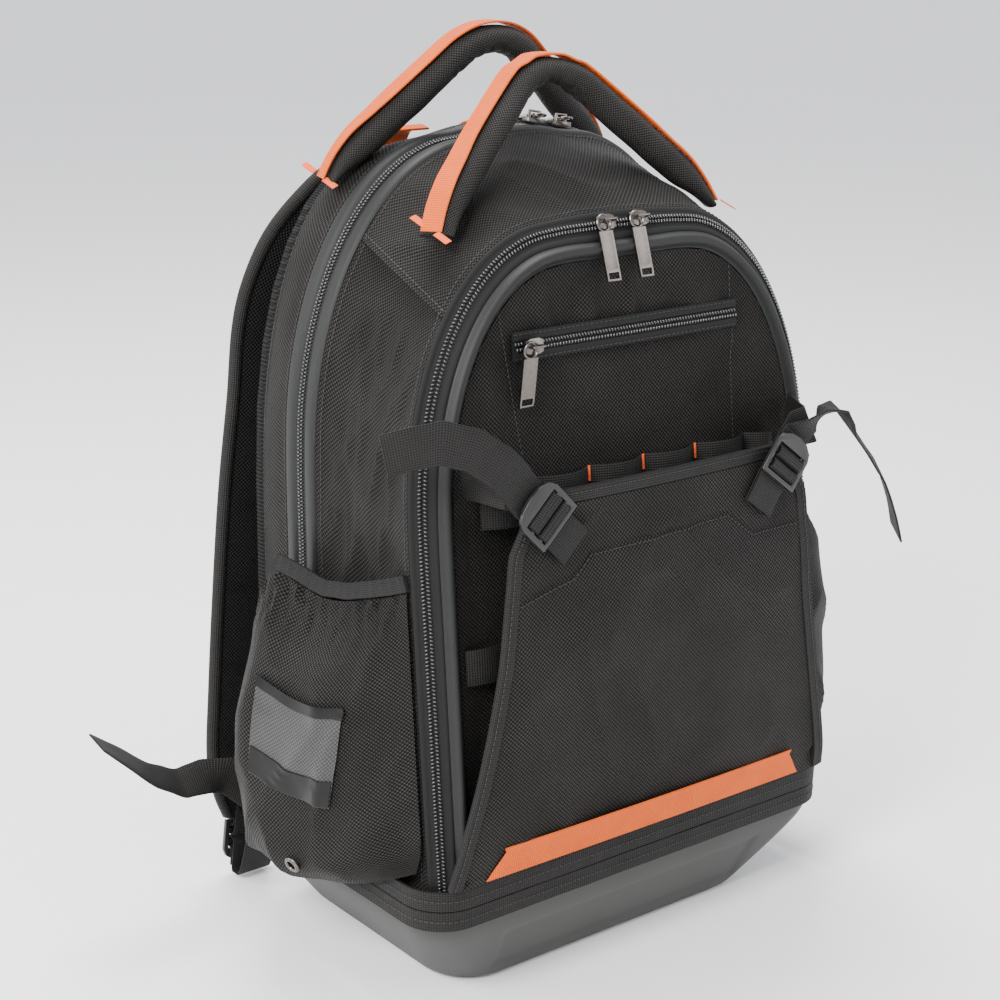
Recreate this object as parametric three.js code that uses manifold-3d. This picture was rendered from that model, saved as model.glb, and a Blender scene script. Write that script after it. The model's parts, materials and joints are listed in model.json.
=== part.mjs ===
// Tool backpack, millimetres, +Z up, front towards -Y, origin under the centre of the base.
import * as THREE from 'three';
import { mergeVertices } from 'three/addons/utils/BufferGeometryUtils.js';
import Module from 'manifold-3d';

const wasm = await Module();
wasm.setup();

// Driving dimensions

const GAP = 0.3;              // clearance kept between touching pieces
const CLOTH = 2;              // woven shell with its foam backing
const THIN_CLOTH = 1.6;       // pocket cloth and other single layers
const WEBBING = 1.4;          // webbing thickness
const STRAP_WIDTH = 25;       // webbing width on straps and tabs

const BASE = {
  halfWidth: 167, front: -117.4, back: 92.4, corner: 27, height: 74, wall: 3,
  footHalfWidth: 122, footFront: -84, footBack: 90, footCorner: 34,
};
const RECESS = { halfWidth: 105, flare: 1.03, low: 12, high: 46, deep: 1.2 };
const TRIM_HEIGHTS = { below: 12, split: 1, above: 14 };
const TRIM = {
  low: BASE.height - TRIM_HEIGHTS.below,
  split: BASE.height + TRIM_HEIGHTS.split,
  high: BASE.height + TRIM_HEIGHTS.above,
  thick: 2,
};
const HEM = BASE.height + GAP;

const SHELL = { halfWidth: 158, top: 511, across: 125, up: 183, crown: 4, lean: 0.09 };

// Arches that the shell panels meet along, as shares of the base's half-width (hem) and of the
// shell's sizes: half-width, height, crown, corner radii across and up, and lean. The corner's
// fullness is an exponent. At the hem each arch stands behind the base's front or ahead of its back.
const ARCH_ROWS = [
  { name: 'panel', hem: 0.820, half: 0.867, top: 0.853, crown: 0, across: 0.736, up: 0.798, full: 2.1, lean: 1 },
  { name: 'piping', hem: 0.880, half: 0.930, top: 0.876, crown: 0, across: 0.808, up: 0.852, full: 2.1, lean: 1 },
  { name: 'frontEdge', hem: 0.958, half: 1.013, top: 0.911, crown: 0.5, across: 0.912, up: 0.929, full: 2.1, lean: 0.98 },
  { name: 'mainEdge', hem: 0.988, half: 1, top: 1, crown: 1, across: 1, up: 1, full: 2.05, lean: 0.09 },
  { name: 'backSeam', hem: 0.988, half: 0.994, top: 1.005, crown: 1, across: 0.976, up: 1.038, full: 2.1, lean: 0.045 },
  { name: 'backEdge', hem: 0.916, half: 0.956, top: 0.975, crown: 1, across: 0.80, up: 1.12, full: 2.3, lean: -0.09 },
];
const BEHIND_FRONT = { panel: 0.4, piping: 1.6, frontEdge: 13.4 };
const AHEAD_OF_BACK = { mainEdge: 80, backSeam: 46, backEdge: 5 };
const ARCHES = Object.fromEntries(ARCH_ROWS.map((row) => [row.name, {
  hem: row.hem * BASE.halfWidth,
  half: row.half * SHELL.halfWidth,
  top: HEM + row.top * (SHELL.top - HEM),
  crown: row.crown * SHELL.crown,
  across: row.across * SHELL.across,
  up: row.up * SHELL.up,
  full: row.full,
  y: row.name in BEHIND_FRONT ? BASE.front + BEHIND_FRONT[row.name] : BASE.back - AHEAD_OF_BACK[row.name],
  lean: row.lean * SHELL.lean,
}]));
const ARCH_ORDER = ARCH_ROWS.map((row) => row.name);
const WAIST = 0.45;           // share of the straight side where the shell reaches its upper half-width
const INSIDE = new THREE.Vector3(0, (BASE.front + BASE.back) / 2, SHELL.top / 2);

// Rise of each strip above the chord between its arches
const SAG = { piping: 2.5, side: -6, top: 1.5, gusset: 3 };
const COIL = { height: 2.2, halfShare: 0.2 };

const BACK_PAD = { thick: 12, round: 3.5 };

const POCKET_ZIP = { half: 89, height: 18, below: 44, thick: 1.8, coilFoot: 3, coilTop: 2 };
const FLAP = {
  thick: 2.6, base: TRIM.high + 2 * GAP, height: 237, half: 0.94 * BASE.halfWidth, proud: 16,
  binding: 9, bindingThick: 4.2, curl: 0.28,
};
const FLAP_TOP = FLAP.base + FLAP.height;

// Flap sections up its height, as shares of its height, its half-width and how far it stands proud
const FLAP_ROWS = [
  { rise: 0.00, half: 1.000, proud: 0.21 },
  { rise: 0.09, half: 0.975, proud: 0.56 },
  { rise: 0.31, half: 0.892, proud: 0.88 },
  { rise: 0.56, half: 0.815, proud: 1.00 },
  { rise: 0.70, half: 0.790, proud: 0.97 },
  { rise: 0.86, half: 0.758, proud: 0.81 },
  { rise: 1.00, half: 0.643, proud: 0.66 },
];
const STRIPE = { rise: 2.4, height: 20, low: 0.834, high: 0.752, thick: 1.2, lift: 0.7 };

// Tool loops: bartacks as shares of the front panel's half-width
const LOOP_BAND = { drop: 12.6, height: 25, bulge: 9, stops: [-0.86, -0.57, -0.255, 0.058, 0.372, 0.686, 0.86] };
const SIDE_LOOP = { near: 0.73, far: 0.978, rise: 0.558, height: 22, bulge: 4 };

const PULL = {
  length: 30, width: 10.5, thick: 1.8, windowHigh: 5, rim: 1.4,
  ring: 5, wire: 0.75, drop: 2, side: 4.4, under: 1.9, rest: 12,
};
const SLIDER = { length: 13, width: 9.4, thick: 3, nose: 3.4, bar: 0.75, rise: 4.2, leg: 4 };
const FRONT_SLIDERS = { spread: 13, centre: 1, tilt: 30, seat: 0.45 };
const MAIN_SLIDERS = { spread: 11, across: 0.209 };
const POCKET_SLIDER_INSET = 5;

// Ladder-lock buckle: places along the strap, from the sewn tab's rim to the finger plate.
const BUCKLE = {
  width: 34, slot: STRAP_WIDTH + 2, thick: 3, rim: [-15.4, -12.4], far: [-9.6, -6.4], near: [-1.2, 2],
  plate: 6, end: 16, lift: 8.4, drop: 8.6,
};
const BUCKLES = {
  left: { across: -1, along: [-0.7, 0.714] },
  right: { across: 0.93, along: [0.6, 0.8] },
};

const HANDLE = { foot: 101, deep: 11.5, thick: 9.5, webbing: 20, lift: 1.2 };
// Places of each handle below and above the shell's top, and its foot and apex behind the base's front
const HANDLES = {
  front: { footDown: 39, apexUp: 38, footBehind: 79.4, apexBehind: 111.4, slope: 0.45 },
  rear: { footDown: 21, apexUp: 54, footBehind: 185.4, apexBehind: 164.4, slope: -0.35 },
};

// Handle sections from foot to apex, as shares of its half-span, rise and thickness
const HANDLE_ROWS = [
  { out: 1.08, rise: -0.12, thick: 0.30 },
  { out: 1.00, rise: 0.02, thick: 0.62 },
  { out: 0.88, rise: 0.17, thick: 0.95 },
  { out: 0.62, rise: 0.47, thick: 1.00 },
  { out: 0.38, rise: 0.74, thick: 1.00 },
  { out: 0.22, rise: 0.91, thick: 1.00 },
  { out: 0.08, rise: 0.99, thick: 0.94 },
];

const POCKET = {
  low: TRIM.low - 8, height: 214, back: BASE.back - 24.4, bulge: 44, overTrim: 20,
  elastic: 10, elasticThick: 3.2, elasticRows: 6,
};

// Pocket sections from front to back: rim and hem as shares of its height, the wall behind it as a
// share of the base's half-width, and the bulge of each side's pocket as a share of the full one.
const POCKET_ROWS = [
  { along: 0.00, rim: 1.000, hem: 0.206, wall: 0.9725, left: 0.00, right: 0.00 },
  { along: 0.07, rim: 0.981, hem: 0.178, wall: 0.970, left: 0.26, right: 0.78 },
  { along: 0.17, rim: 0.958, hem: 0.140, wall: 0.964, left: 0.62, right: 1.10 },
  { along: 0.30, rim: 0.930, hem: 0.094, wall: 0.964, left: 0.86, right: 1.12 },
  { along: 0.44, rim: 0.916, hem: 0.056, wall: 0.970, left: 0.98, right: 1.04 },
  { along: 0.58, rim: 0.939, hem: 0.028, wall: 0.994, left: 1.02, right: 0.98 },
  { along: 0.70, rim: 0.949, hem: 0.014, wall: 1.012, left: 1.00, right: 0.92 },
  { along: 0.87, rim: 0.850, hem: 0.005, wall: 1.006, left: 0.66, right: 0.62 },
  { along: 1.00, rim: 0.785, hem: 0.000, wall: 0.988, left: 0.06, right: 0.06 },
];

// How far the pocket stands out down its height, as shares of its bulge
const POCKET_FALL = [
  { down: 0.00, out: 0.34 },
  { down: 0.08, out: 0.46 },
  { down: 0.20, out: 0.72 },
  { down: 0.38, out: 0.92 },
  { down: 0.58, out: 1.00 },
  { down: 0.78, out: 0.98 },
  { down: 0.92, out: 0.72 },
  { down: 1.00, out: 0.12 },
];
const EYELET = { along: 0.45, down: 0.89, outer: 5.6, inner: 3, thick: 2.2, lift: 0.15 };
const WINDOW = { from: 0.17, to: 0.80, high: 0.30, low: 0.76, lift: 2.5, thick: 0.5 };
const WINDOW_LABEL = { from: 0.17, to: 0.78, high: 0.665, low: 0.745, lift: 1.7, thick: 0.4 };
const WINDOW_BAND = { from: 0.17, to: 0.52, high: 0.25, low: 0.28, lift: 1.3, thick: 0.8 };

const STRAP = { low: 41, high: SHELL.top - 22, thick: 13, edge: 0.45, round: 5, width: 71, off: 31 };

// Shoulder strap sections down its length: height from low to high, distance from the middle as a
// share of the base's half-width, and stand-off and width as shares of the full ones.
const STRAP_ROWS = [
  { rise: 1.000, x: 0.228, off: 0.16, width: 0.73 },
  { rise: 0.969, x: 0.287, off: 0.39, width: 0.85 },
  { rise: 0.924, x: 0.407, off: 0.65, width: 0.93 },
  { rise: 0.857, x: 0.539, off: 0.90, width: 0.97 },
  { rise: 0.779, x: 0.617, off: 1.00, width: 1.00 },
  { rise: 0.645, x: 0.665, off: 1.00, width: 1.00 },
  { rise: 0.511, x: 0.713, off: 1.00, width: 1.00 },
  { rise: 0.364, x: 0.760, off: 0.97, width: 0.96 },
  { rise: 0.346, x: 0.760, off: 0.97, width: 0.89 },
  { rise: 0.328, x: 0.772, off: 0.97, width: 0.94 },
  { rise: 0.203, x: 0.802, off: 0.97, width: 0.93 },
  { rise: 0.096, x: 0.826, off: 0.94, width: 0.90 },
  { rise: 0.038, x: 0.832, off: 0.90, width: 0.76 },
  { rise: 0.000, x: 0.844, off: 0.87, width: 0.54 },
];
const LOWER_LOCK = { out: 3, below: 17.5, tail: -28, along: [0.12, -0.99] };

// Orange webbing that the strap hangs from: places behind the padded back and below the shell's top
const YOKE = {
  x: 31,
  rows: [{ back: -8, down: 4.5 }, { back: 1, down: 3 }, { back: 12.5, down: 8 }, { back: 19.5, down: 18.5 }],
};

const FABRIC = 0x2b2926;
const WEB = 0x32302c;
const ZIP = 0x333534;
const ORANGE = 0xf07a3c;
const NICKEL = 0x84796f;
const PLASTIC = 0x2c2d2c;

// Solids from rings of points

const vec = (x, y, z) => new THREE.Vector3(x, y, z);
const mix = (a, b, share) => a + (b - a) * share;
const range = (count, make) => Array.from({ length: count }, (_, i) => make(i));

// A table's column at a place between two of its rows.
function tableAt(rows, key, at, column) {
  const last = rows.length - 1;
  const k = Math.max(1, rows.findIndex((row) => row[key] >= at));
  const upper = rows[at >= rows[last][key] ? last : k];
  const lower = rows[at >= rows[last][key] ? last - 1 : k - 1];
  const share = THREE.MathUtils.clamp((at - lower[key]) / (upper[key] - lower[key]), 0, 1);
  return mix(lower[column], upper[column], share);
}

function volumeOf(points, faces) {
  let sum = 0;
  for (const [a, b, c] of faces) sum += points[a].dot(points[b].clone().cross(points[c]));
  return sum;
}

function capOf(ring) {
  const normal = vec(0, 0, 0);
  ring.forEach((p, i) => normal.add(p.clone().cross(ring[(i + 1) % ring.length])));
  normal.normalize();
  const across = Math.abs(normal.x) < 0.8 ? vec(1, 0, 0) : vec(0, 1, 0);
  const right = across.cross(normal).normalize();
  const up = normal.clone().cross(right);
  const flat = ring.map((p) => new THREE.Vector2(p.dot(right), p.dot(up)));
  return THREE.ShapeUtils.triangulateShape(flat, []);
}

// A closed solid through rings with equal counts of points, capped at both ends unless it closes on itself.
function loft(rings, closed = false) {
  const size = rings[0].length;
  const points = rings.flat();
  const faces = [];
  const last = closed ? rings.length : rings.length - 1;
  for (let i = 0; i < last; i += 1) {
    const here = i * size;
    const next = ((i + 1) % rings.length) * size;
    for (let j = 0; j < size; j += 1) {
      const k = (j + 1) % size;
      faces.push([here + j, here + k, next + k], [here + j, next + k, next + j]);
    }
  }
  if (!closed) {
    const end = (rings.length - 1) * size;
    for (const [a, b, c] of capOf(rings[0])) faces.push([c, b, a]);
    for (const [a, b, c] of capOf(rings[rings.length - 1])) faces.push([end + a, end + b, end + c]);
    matchCaps(points, faces, size, end);
  }
  if (volumeOf(points, faces) < 0) faces.forEach((face) => face.reverse());
  const geometry = new THREE.BufferGeometry();
  geometry.setAttribute('position', new THREE.Float32BufferAttribute(points.flatMap((p) => p.toArray()), 3));
  geometry.setIndex(faces.flat());
  return geometry;
}

// Turns each cap so that its edges run against those of the side walls.
function matchCaps(points, faces, size, end) {
  const walls = new Set();
  faces.forEach((face) => {
    if (isCap(face, size, end)) return;
    face.forEach((a, i) => walls.add(`${a},${face[(i + 1) % 3]}`));
  });
  for (const start of [0, end]) {
    const cap = faces.filter((face) => face.every((a) => a >= start && a < start + size));
    const wrong = cap.some((face) => face.some((a, i) => walls.has(`${a},${face[(i + 1) % 3]}`)));
    if (wrong) cap.forEach((face) => face.reverse());
  }
}

function isCap(face, size, end) {
  return face.every((a) => a < size) || face.every((a) => a >= end);
}

// A sheet of one thickness: its outer face is a grid of rows, its inner face lies inwards of it.
function sheet(rows, thick, inwards) {
  const rings = rows.map((row, i) => {
    const inner = row.map((p, j) => p.clone().addScaledVector(inwards(i, j), thick));
    return [...row, ...inner.reverse()];
  });
  return loft(rings);
}

// Normals of a grid, towards a given point.
function gridNormals(rows, towards) {
  return rows.map((row, i) => row.map((p, j) => {
    const along = rows[Math.min(i + 1, rows.length - 1)][j].clone().sub(rows[Math.max(i - 1, 0)][j]);
    const across = row[Math.min(j + 1, row.length - 1)].clone().sub(row[Math.max(j - 1, 0)]);
    const normal = along.cross(across).normalize();
    if (normal.dot(towards.clone().sub(p)) < 0) normal.negate();
    return normal;
  }));
}

// Where webbing twists, sections are added so that its two faces stay apart.
const TWIST_STEP = 0.13;

function gentlyTwisted(rings) {
  const across = (ring) => ring[1].clone().sub(ring[0]);
  return rings.flatMap((ring, i) => {
    const before = rings[Math.max(i - 1, 0)];
    const steps = Math.max(1, Math.ceil(across(before).angleTo(across(ring)) / TWIST_STEP));
    return range(steps, (k) => ring.map((p, j) => before[j].clone().lerp(p, (k + 1) / steps)));
  });
}

// A flat strap along a route: each stop has its centre and the direction across the strap.
function ribbon(stops, width, thick) {
  const rings = stops.map((stop, i) => {
    const before = stops[Math.max(i - 1, 0)].at;
    const after = stops[Math.min(i + 1, stops.length - 1)].at;
    const along = after.clone().sub(before).normalize();
    const side = stop.side.clone().addScaledVector(along, -stop.side.dot(along)).normalize();
    const up = along.clone().cross(side);
    const half = (stop.width ?? width) / 2;
    const deep = (stop.thick ?? thick) / 2;
    return [[-half, -deep], [half, -deep], [half, deep], [-half, deep]]
      .map(([a, b]) => stop.at.clone().addScaledVector(side, a).addScaledVector(up, b));
  });
  return loft(gentlyTwisted(rings));
}

function outline(points, depth) {
  const shape = new THREE.Shape(points.map(([x, y]) => new THREE.Vector2(x, y)));
  return { shape, depth };
}

function extruded({ shape, depth }) {
  return new THREE.ExtrudeGeometry(shape, { depth, bevelEnabled: false });
}

function toSolid(geometry) {
  const bare = geometry.clone();
  bare.deleteAttribute('normal');
  bare.deleteAttribute('uv');
  const merged = mergeVertices(bare, 1e-4);
  return new wasm.Manifold(new wasm.Mesh({
    numProp: 3,
    vertProperties: new Float32Array(merged.attributes.position.array),
    triVerts: new Uint32Array(merged.index.array),
  }));
}

function fromSolid(solid) {
  const mesh = solid.getMesh();
  const geometry = new THREE.BufferGeometry();
  geometry.setAttribute('position', new THREE.BufferAttribute(Float32Array.from(mesh.vertProperties), 3));
  geometry.setIndex(Array.from(mesh.triVerts));
  return geometry;
}

const joined = (...parts) => fromSolid(parts.map(toSolid).reduce((a, b) => a.add(b)));

const SIDES = [['left', -1], ['right', 1]];

const pack = new THREE.Group();

function add(name, geometry, color, roughness = 0.85, metalness = 0) {
  const material = new THREE.MeshStandardMaterial({ color, roughness, metalness });
  const mesh = new THREE.Mesh(geometry, material);
  mesh.name = name;
  pack.add(mesh);
  return mesh;
}

// Base tray: a moulded shell that tapers to a smaller foot, with a recessed front face

function roundedRing(halfWidth, front, back, radius, z, steps = 5) {
  const corners = [
    { x: halfWidth - radius, y: back - radius, from: 0 },
    { x: -halfWidth + radius, y: back - radius, from: 90 },
    { x: -halfWidth + radius, y: front + radius, from: 180 },
    { x: halfWidth - radius, y: front + radius, from: 270 },
  ];
  return corners.flatMap(({ x, y, from }) => range(steps + 1, (i) => {
    const angle = THREE.MathUtils.degToRad(from + (90 * i) / steps);
    return vec(x + radius * Math.cos(angle), y + radius * Math.sin(angle), z);
  }));
}

// Shares of the way from foot to rim at a height, for the tray's tapering wall.
const TRAY_ROWS = [
  { rise: 0.00, out: 0.00 },
  { rise: 0.035, out: 0.10 },
  { rise: 0.11, out: 0.22 },
  { rise: 0.60, out: 0.80 },
  { rise: 0.80, out: 0.96 },
  { rise: 1.00, out: 1.00 },
];

function trayRing(row, inset, z) {
  return roundedRing(
    mix(BASE.footHalfWidth, BASE.halfWidth, row.out) - inset,
    mix(BASE.footFront, BASE.front, row.out) + inset,
    mix(BASE.footBack, BASE.back, row.out) - inset,
    mix(BASE.footCorner, BASE.corner, row.out) - inset,
    z,
  );
}

function baseTray() {
  const outer = TRAY_ROWS.map((row) => trayRing(row, 0, row.rise * BASE.height));
  const inner = TRAY_ROWS.map((row) => trayRing(row, BASE.wall, Math.max(row.rise * BASE.height, BASE.wall)));
  const shell = toSolid(loft([...outer, ...inner.reverse().slice(0, -1)]));
  const faceAt = (z) => mix(BASE.footFront, BASE.front, tableAt(TRAY_ROWS, 'rise', z / BASE.height, 'out'));
  const low = faceAt(RECESS.low) + RECESS.deep;
  const high = faceAt(RECESS.high) + RECESS.deep;
  const clear = BASE.height / 4;
  const cut = [-RECESS.halfWidth, RECESS.halfWidth].map((x) => [
    vec(x, low - clear, RECESS.low),
    vec(x, low, RECESS.low),
    vec(x * RECESS.flare, high, RECESS.high),
    vec(x * RECESS.flare, high - clear, RECESS.high),
  ]);
  return fromSolid(shell.subtract(toSolid(loft(cut))));
}

add('base_tray', baseTray(), 0x5c5c58, 0.7);

// Trim: two rows of webbing sewn round the rim, the lower on the tray and the upper on the cloth

function trimBand(low, high) {
  const inset = BASE.halfWidth + GAP;
  const out = inset + TRIM.thick;
  const ring = (half, z) => roundedRing(
    half,
    BASE.front - (half - BASE.halfWidth),
    BASE.back + (half - BASE.halfWidth),
    BASE.corner + (half - BASE.halfWidth),
    z,
  );
  const loops = [ring(out, low), ring(out, high), ring(inset, high), ring(inset, low)];
  return loft(loops, true);
}

add('trim_lower', trimBand(TRIM.low, TRIM.split - GAP / 2), WEB);
add('trim_upper', trimBand(TRIM.split + GAP / 2, TRIM.high), WEB);

// Shell panels between the arches

const SIDE_SHARE = 0.4;
const CORNER_SHARE = 0.86;
const FLAT_CLIMB = 0.04;      // up to here coils and piping lie flat, under the trim
const FULL_CLIMB = 0.075;

// Point on an arch: share 0 is the left hem, 0.5 the crown, 1 the right hem.
function onArch(name, share) {
  const arch = ARCHES[name];
  const side = share < 0.5 ? -1 : 1;
  const climb = 1 - Math.abs(share - 0.5) * 2;
  const shoulder = arch.top - arch.crown - arch.up;
  let x = arch.half;
  let z = arch.top;
  if (climb <= SIDE_SHARE) {
    const part = climb / SIDE_SHARE;
    z = mix(HEM, shoulder, part);
    x = mix(arch.hem, arch.half, Math.min(1, part / WAIST));
  } else if (climb <= CORNER_SHARE) {
    const angle = ((climb - SIDE_SHARE) / (CORNER_SHARE - SIDE_SHARE)) * (Math.PI / 2);
    x = arch.half - arch.across * (1 - Math.cos(angle) ** (2 / arch.full));
    z = shoulder + arch.up * Math.sin(angle) ** (2 / arch.full);
  } else {
    const part = (climb - CORNER_SHARE) / (1 - CORNER_SHARE);
    x = (arch.half - arch.across) * (1 - part);
    z = arch.top - arch.crown * (1 - part) ** 2;
  }
  return vec(side * x, arch.y + arch.lean * (z - HEM), z);
}

// Shares at which the shell has its sections, left to right.
function archShares(from = 0, to = 1) {
  const climbs = [0, FLAT_CLIMB, FULL_CLIMB, WAIST * SIDE_SHARE, 0.3, SIDE_SHARE];
  const corner = range(8, (i) => mix(SIDE_SHARE, CORNER_SHARE, (i + 1) / 8));
  const half = [...climbs, ...corner, 0.93].map((climb) => climb / 2);
  const all = [...half, 0.5, ...half.map((share) => 1 - share).reverse()];
  const inner = all.filter((share) => share > from + 0.002 && share < to - 0.002);
  return [from, ...inner, to];
}

function inwardNormal(first, second, share) {
  const step = 0.004;
  const along = onArch(first, Math.min(1, share + step)).sub(onArch(first, Math.max(0, share - step)));
  const across = onArch(second, share).sub(onArch(first, share));
  const normal = along.cross(across).normalize();
  if (normal.dot(INSIDE.clone().sub(onArch(first, share))) < 0) normal.negate();
  return normal;
}

const PANEL_NORMAL = vec(0, 1, -ARCHES.panel.lean).normalize();
const BACK_NORMAL = vec(0, -1, 0);

// Direction from the outer to the inner corner where two panels meet, for a wall one unit thick.
function mitre(name, share) {
  const place = ARCH_ORDER.indexOf(name);
  const before = place === 0 ? PANEL_NORMAL : inwardNormal(ARCH_ORDER[place - 1], name, share);
  const after = place === ARCH_ORDER.length - 1 ? BACK_NORMAL : inwardNormal(name, ARCH_ORDER[place + 1], share);
  return before.clone().add(after).divideScalar(1 + before.dot(after));
}

// A wall between two arches. Profile rows give the share across and the height above the chord.
function wall(first, second, profile, from = 0, to = 1) {
  const rings = archShares(from, to).map((share) => {
    const a = onArch(first, share);
    const run = onArch(second, share).sub(a);
    const across = run.clone().normalize();
    const normal = inwardNormal(first, second, share);
    const climb = 1 - Math.abs(share - 0.5) * 2;
    const fullness = THREE.MathUtils.clamp((climb - FLAT_CLIMB) / (FULL_CLIMB - FLAT_CLIMB), 0, 1);
    const last = profile.length - 1;
    const outer = profile.map((row, i) => {
      const pull = (GAP / 2) * ((i === 0) - (i === last));
      return a.clone().addScaledVector(run, row.across).addScaledVector(across, pull)
        .addScaledVector(normal, -row.lift * fullness);
    });
    const inner = outer.map((p, i) => {
      const depth = i === 0 ? mitre(first, share) : i === last ? mitre(second, share) : normal;
      return p.clone().addScaledVector(depth, CLOTH);
    });
    return [...outer, ...inner.reverse()];
  });
  return loft(rings);
}

const bowed = (height, steps = 4) => range(steps + 1, (i) => {
  const across = i / steps;
  return { across, lift: height * 4 * across * (1 - across) };
});

const zipped = [
  { across: 0, lift: 0 },
  { across: 0.5 - COIL.halfShare, lift: 0 },
  { across: 0.5 - COIL.halfShare * 0.7, lift: COIL.height },
  { across: 0.5 + COIL.halfShare * 0.7, lift: COIL.height },
  { across: 0.5 + COIL.halfShare, lift: 0 },
  { across: 1, lift: 0 },
];

// The side panels meet the top panel half way round the corner.
const SEAM = (SIDE_SHARE + CORNER_SHARE) / 4;
const SEAM_GAP = GAP / 800;

function frontPanel() {
  const edge = archShares().map((share) => {
    const point = onArch('panel', share);
    const centre = vec(0, point.y, point.z - 40).sub(point).normalize();
    return { point: point.addScaledVector(centre, GAP / 2), inner: mitre('panel', share) };
  });
  const outer = edge.map((e) => e.point);
  const inner = edge.map((e) => e.point.clone().addScaledVector(e.inner, CLOTH));
  return loft([outer, inner]);
}

// Share of an arch's left side at a height.
function shareAtHeight(name, z) {
  const arch = ARCHES[name];
  const shoulder = arch.top - arch.crown - arch.up;
  return (SIDE_SHARE * (z - HEM)) / (shoulder - HEM) / 2;
}

function backPanel() {
  const low = shareAtHeight('backEdge', TRIM.high + GAP);
  const edge = archShares(low, 1 - low).map((share) => onArch('backEdge', share));
  const { thick, round } = BACK_PAD;
  const ringAt = (deep, inset) => edge.map((p, i) => {
    const corner = i === 0 || i === edge.length - 1;
    const inwards = vec(-p.x, 0, corner ? Math.abs(p.x) : INSIDE.z - p.z).normalize();
    return p.clone().addScaledVector(inwards, inset).setY(p.y + GAP + deep);
  });
  return loft([ringAt(0, round / 3), ringAt(round, 0), ringAt(thick - round, 0), ringAt(thick, round)]);
}

add('front_panel', frontPanel(), FABRIC);
add('front_piping', wall('panel', 'piping', bowed(SAG.piping, 3)), ZIP, 0.7);
add('front_zip', wall('piping', 'frontEdge', zipped), ZIP, 0.7);
add('side_panel_left', wall('frontEdge', 'mainEdge', bowed(SAG.side), 0, SEAM - SEAM_GAP), FABRIC);
add('side_panel_right', wall('frontEdge', 'mainEdge', bowed(SAG.side), 1 - SEAM + SEAM_GAP, 1), FABRIC);
add('top_panel', wall('frontEdge', 'mainEdge', bowed(SAG.top), SEAM, 1 - SEAM), FABRIC);
add('main_zip', wall('mainEdge', 'backSeam', zipped), ZIP, 0.7);
add('back_gusset', wall('backSeam', 'backEdge', bowed(SAG.gusset, 3)), FABRIC);
add('back_panel', backPanel(), FABRIC);

// Small pocket's zip, laid on the front panel

const frontAt = (z) => ARCHES.panel.y + ARCHES.panel.lean * (z - HEM);
const FRONT_OUT = PANEL_NORMAL.clone().negate();
const FRONT_UP = vec(0, ARCHES.panel.lean, 1).normalize();
const POCKET_ZIP_Z = ARCHES.panel.top - POCKET_ZIP.below;

function onFront(x, z, lift) {
  return vec(x, frontAt(z), z).addScaledVector(FRONT_OUT, lift);
}

function pocketZip() {
  const half = POCKET_ZIP.height / 2;
  const { thick, coilFoot, coilTop } = POCKET_ZIP;
  const section = [
    [0, -half], [thick, -half], [thick, -coilFoot], [thick + COIL.height, -coilTop],
    [thick + COIL.height, coilTop], [thick, coilFoot], [thick, half], [0, half],
  ];
  return loft([-1, 1].map((side) => section.map(([out, up]) => (
    onFront(side * POCKET_ZIP.half, POCKET_ZIP_Z, GAP + out).addScaledVector(FRONT_UP, up)
  ))));
}

add('pocket_zip', pocketZip(), ZIP, 0.7);

// Sliders and pulls: the pull's ring passes under the slider's bridge, on one side of a leg

function sliderSolid() {
  const half = SLIDER.length / 2;
  const wide = SLIDER.width / 2;
  const { thick, nose, leg, bar } = SLIDER;
  const body = extruded(outline([
    [-half, -nose], [-half + nose, -wide], [half - nose, -wide], [half, -nose],
    [half, nose], [half - nose, wide], [-half + nose, wide], [-half, nose],
  ], thick)).rotateX(Math.PI / 2);
  const height = thick + SLIDER.rise;
  const legs = [-leg, leg].map((x) => (
    new THREE.BoxGeometry(2 * bar, height - thick / 2, 2 * bar).translate(x, -(height + thick / 2) / 2, 0)
  ));
  const bridge = new THREE.CylinderGeometry(bar, bar, 2 * leg + 2 * bar, 8)
    .rotateZ(Math.PI / 2).translate(0, -height, 0);
  return joined(body, ...legs, bridge);
}

// Origin on the axis of the bridge that the ring turns about.
function pullSolid() {
  const { ring, wire, drop, side, under, width, thick, length, rim, windowHigh } = PULL;
  const loop = new THREE.TorusGeometry(ring, wire, 6, 14).rotateX(Math.PI / 2).translate(-side, under, -drop);
  const top = -drop - ring + wire / 2;
  const half = width / 2;
  const low = top - length;
  const plate = extruded(outline([[-half, low], [half, low], [half, top], [-half, top]], thick))
    .rotateX(Math.PI / 2).translate(-side, under + thick / 2, 0);
  const window = new THREE.BoxGeometry(width - 2 * rim, 3 * thick, windowHigh)
    .translate(-side, under, low + rim + windowHigh / 2);
  return fromSolid(toSolid(loop).add(toSolid(plate)).subtract(toSolid(window)));
}

function addZipper(name, place, turn) {
  const slider = add(`${name.replace('zip', 'slider')}`, sliderSolid(), NICKEL, 0.35, 0.9);
  const pull = add(`${name.replace('zip', 'pull')}`, pullSolid(), NICKEL, 0.35, 0.9);
  const group = new THREE.Group();
  group.position.copy(place);
  group.rotation.copy(turn);
  pull.position.y = -(SLIDER.thick + SLIDER.rise);
  pull.rotation.x = THREE.MathUtils.degToRad(PULL.rest);
  group.add(slider, pull);
  pack.add(group);
}

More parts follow.
